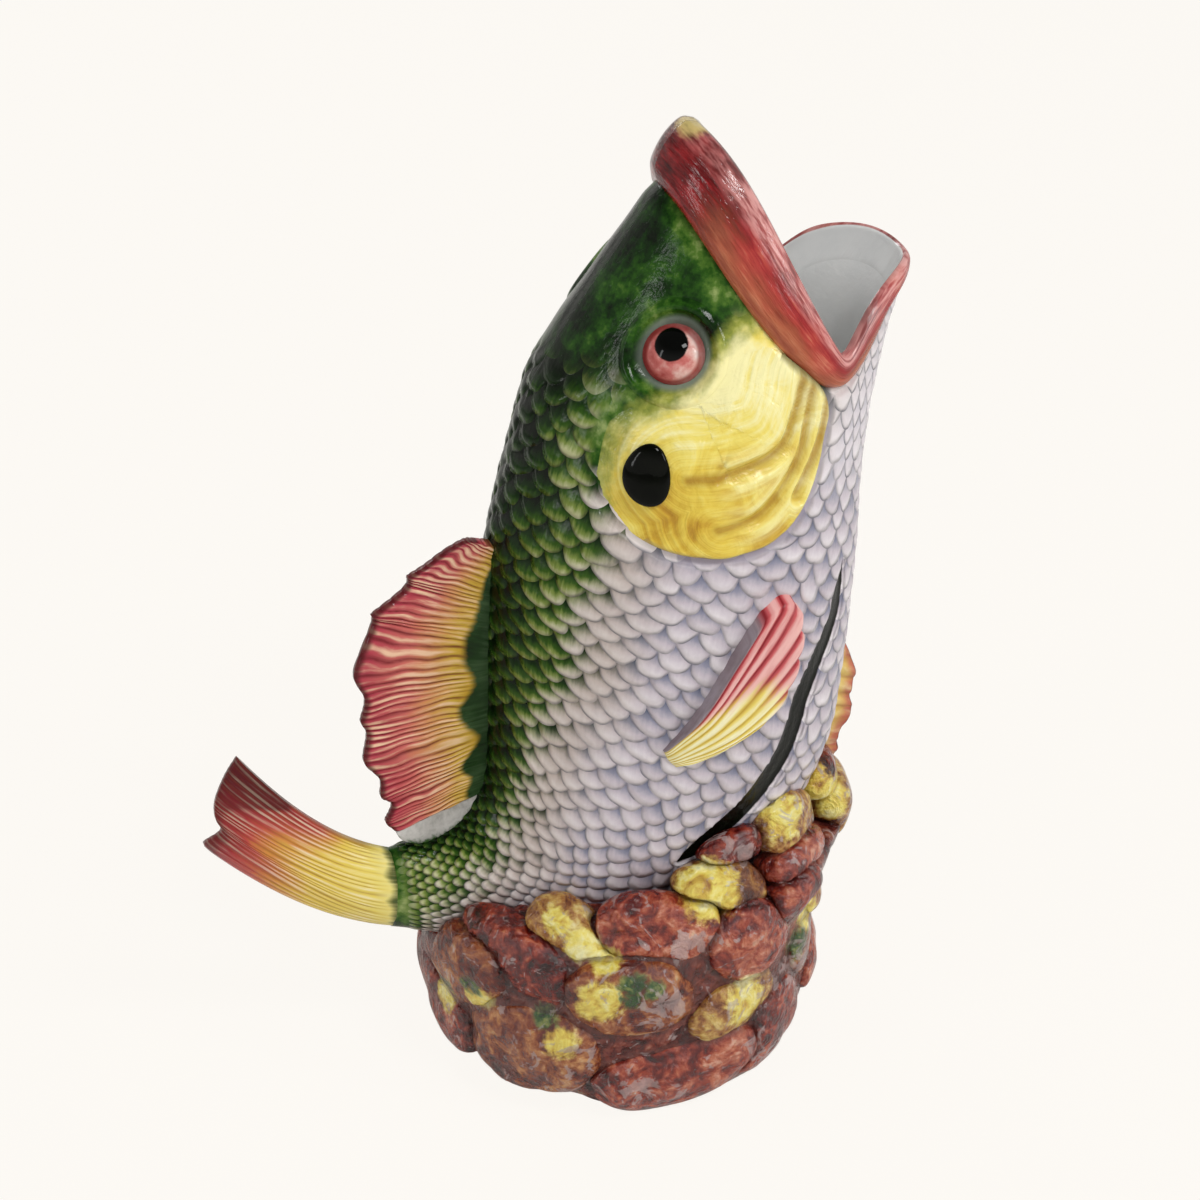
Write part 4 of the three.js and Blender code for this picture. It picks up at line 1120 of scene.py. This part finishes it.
def heap():
    slots = {"rock_base": "crevice_glaze"}
    for number in range(1, STONES + 1):
        kind = "yellow" if number in YELLOW_STONES else "moss" if number in MOSS_STONES else "brown"
        slots[f"stone_{number:02d}"] = f"stone_{kind}"
    paints = {}
    for slot, tones in STONE_TONES.items():
        paints[slot] = stone_glaze(slot, [(step, *tone) for step, tone in zip(TONE_STEPS, tones)])
    shapes = {node: remeshed(node) for node in slots}
    every = join(*(points for points, _, _ in shapes.values()))
    owner = np.repeat(np.arange(len(shapes)), [len(points) for points, _, _ in shapes.values()])
    tree = kdtree.KDTree(len(every))
    for index, point in enumerate(every):
        tree.insert(point, index)
    tree.balance()
    cover = heap_cover(every)
    chances = np.random.default_rng(CHANCE_SEED).random(len(shapes))
    for index, (node, (points, edges, faces)) in enumerate(shapes.items()):
        near = np.full(len(points), 9.0)
        for spot, point in enumerate(points):
            for _, other, distance in tree.find_range(point, NEIGHBOUR_REACH):
                if owner[other] != index and distance < near[spot]:
                    near[spot] = distance
        points = relaxed(points, edges, 12)
        out = normals(points, faces)
        spread = np.maximum(np.hypot(points[:, 0], points[:, 1]), 1)
        level = points * (1, 1, 0) / spread[:, None]
        outward = smooth(0.1, 0.7, (out * level).sum(axis=1)) * smooth(36, 44, spread)
        rise = 0.8 + 1.2 * lumps(points, 16.0, index) + 0.7 * facets(points, 19.0, index)
        under = cover[cover_cells(points)] - COVER_GAP - spread
        fill = FILLED * under.clip(0, 9) * (1 - smooth(9, 14, under)) * outward
        points = relaxed(points + out * rise[:, None] + level * fill[:, None], edges, 3)
        points[:, 2] = np.maximum(points[:, 2], 0.0 if node == "rock_base" else 0.3)
        marks = {"crevice": 1 - smooth(0.6, 3.4, near), "chance": np.full(len(points), chances[index])}
        for key, rows in DABS.items():
            reach = [np.linalg.norm(points - row[:3], axis=1) / row[3] for row in rows]
            marks[key] = 1 - smooth(0.2, 1.4, np.min(reach, axis=0))
        add_piece(f"{node}_glazed", (points, faces, marks), node, paints[slots[node]])


# Assembly

add_piece("scaled_body", body(), "body_shell", fish_glaze("scale_glaze"))
add_piece("lip", mouth_lip(), "mouth_lip", lip_glaze())
flank_pieces = [
    ("gill_cover", gill_cover, "cheek_glaze", cheek_glaze()),
    ("gill_spot", gill_spot, "spot_glaze", spot_glaze()),
    ("eye_socket", eye_socket, "socket_glaze", fish_glaze("socket_glaze")),
    ("eyeball", eyeball, "eye_glaze", eye_glaze()),
    ("pectoral_fin", pectoral_fin, "fin_glaze", pectoral_glaze()),
]
for kind, shape, slot, glaze in flank_pieces:
    for name, side in SIDES.items():
        add_piece(f"{kind}_{name}_glazed", shape(side), f"{kind}_{name}", glaze)

dorsal_stops = [
    (0.1, 186, 148, 38), (0.3, 212, 174, 68), (0.48, 214, 148, 94), (0.66, 204, 106, 98), (0.92, 180, 66, 80),
]
ventral_stops = [
    (0.0, 206, 190, 84), (0.3, 226, 206, 108), (0.66, 222, 188, 110), (0.84, 200, 124, 96),
    (1.0, 172, 78, 76),
]
tail_stops = [
    (0.0, 240, 228, 150), (0.14, 238, 218, 108), (0.5, 232, 200, 84), (0.66, 214, 146, 72),
    (0.78, 192, 80, 72), (0.92, 158, 42, 52), (1.15, 98, 18, 28),
]
dorsal_paint = fin_glaze("dorsal_glaze", dorsal_stops, (104, 22, 30), (248, 214, 176), 0.8)
ventral_paint = fin_glaze("ventral_glaze", ventral_stops, (178, 128, 66), (244, 232, 176), 0.5)
tail_paint = fin_glaze("tail_glaze", tail_stops, (146, 76, 34), (255, 246, 212), 0.6)
dorsal = mid_fin((3, 7), 0, DORSAL_EDGE, DORSAL_RAYS, 0.8, 1.0)
add_piece("dorsal_fan", dorsal, "dorsal_fin", dorsal_paint)
ventral = mid_fin((5.1, 6.8), 180, VENTRAL_EDGE, VENTRAL_RAYS, 0.5, 0.0)
add_piece("ventral_fan", ventral, "ventral_fin", ventral_paint)
add_piece("tail_fan", tail_fin(), "tail_fin", tail_paint)
add_piece("pale_web", fin_web(), "fin_web", web_glaze())
heap()


# Floor, light and camera, in metres

CREAM = (0.985, 0.956, 0.912, 1.0)
FLOOR_GLOW = 0.96
FILL_LIGHT = 0.33
MIDDLE = Vector((0, 0, 0.15))
CAMERA_TURN = -20
CAMERA_RISE = 33
CAMERA_AWAY = 0.9


def floor():
    """Pale floor that the camera sees nearly as bright as the background, with the object's soft shadow."""
    mesh = bpy.data.meshes.new("floor")
    mesh.from_pydata([(-6, -6, 0), (6, -6, 0), (6, 6, 0), (-6, 6, 0)], [], [(0, 1, 2, 3)])
    ground = add_object("floor", mesh)
    paint = bpy.data.materials.new("floor_cream")
    nodes = Nodes(paint)
    shader = nodes.tree.nodes["Principled BSDF"]
    nodes.fill(shader, {"Base Color": CREAM, "Roughness": 0.9, "Specular IOR Level": 0.0})
    glow = nodes.node("Emission", {"Color": CREAM})
    share = nodes.times(nodes.node("LightPath").outputs["Is Camera Ray"], FLOOR_GLOW)
    nodes.show(share, shader, glow, "Material Output")
    mesh.materials.append(paint)


def world():
    """Even fill light; rays that show the background, straight or mirrored in the glaze, see cream."""
    studio = bpy.data.worlds.new("studio")
    bpy.context.scene.world = studio
    nodes = Nodes(studio)
    fill = nodes.fill(nodes.tree.nodes["Background"], {"Color": (1, 1, 1, 1), "Strength": FILL_LIGHT})
    height = nodes.node("SeparateXYZ", {0: nodes.node("TexCoord").outputs["Generated"]}).outputs["Z"]
    inputs = {"Value": height, "From Min": 0.3, "From Max": 0.7, "To Min": 1.0, "To Max": 0.25}
    shown = nodes.node("Background", {"Color": CREAM, "Strength": nodes.node("MapRange", inputs).outputs[0]})
    rays = nodes.node("LightPath").outputs
    share = rays["Is Camera Ray"]
    for name in ("Is Glossy Ray", "Is Transmission Ray"):
        share = nodes.math("MAXIMUM", share, rays[name])
    nodes.show(share, fill, shown, "World Output")


def aimed(name, data, place):
    """Object at a place that looks at the middle of the pitcher."""
    made = add_object(name, data)
    made.location = place
    made.rotation_mode = "QUATERNION"
    made.rotation_quaternion = (MIDDLE - Vector(place)).to_track_quat("-Z", "Y")
    return made


def softbox(name, place, width, height, power):
    lamp = bpy.data.lights.new(name, "AREA")
    lamp.shape = "RECTANGLE"
    lamp.size, lamp.size_y = width, height
    lamp.energy = power
    aimed(name, lamp, place).visible_camera = False


def camera():
    lens = bpy.data.cameras.new("photo")
    lens.lens, lens.sensor_width = 90, 36
    lens.shift_x, lens.shift_y = -0.0233, 0.0046
    turn, rise = math.radians(CAMERA_TURN), math.radians(CAMERA_RISE)
    back = Vector((math.sin(turn) * math.cos(rise), -math.cos(turn) * math.cos(rise), math.sin(rise)))
    bpy.context.scene.camera = aimed("photo", lens, MIDDLE + CAMERA_AWAY * back)


floor()
world()
softbox("key", (0.35, -0.8, 1.3), 0.36, 0.26, 8.5)
softbox("side", (-1.0, -0.3, 0.6), 0.12, 0.5, 2.2)
softbox("front", (0.9, -0.75, 0.7), 0.12, 0.4, 3.4)
softbox("back", (-0.3, 1.2, 0.9), 0.4, 0.3, 3.0)
camera()
bpy.context.scene.view_settings.view_transform = "Standard"
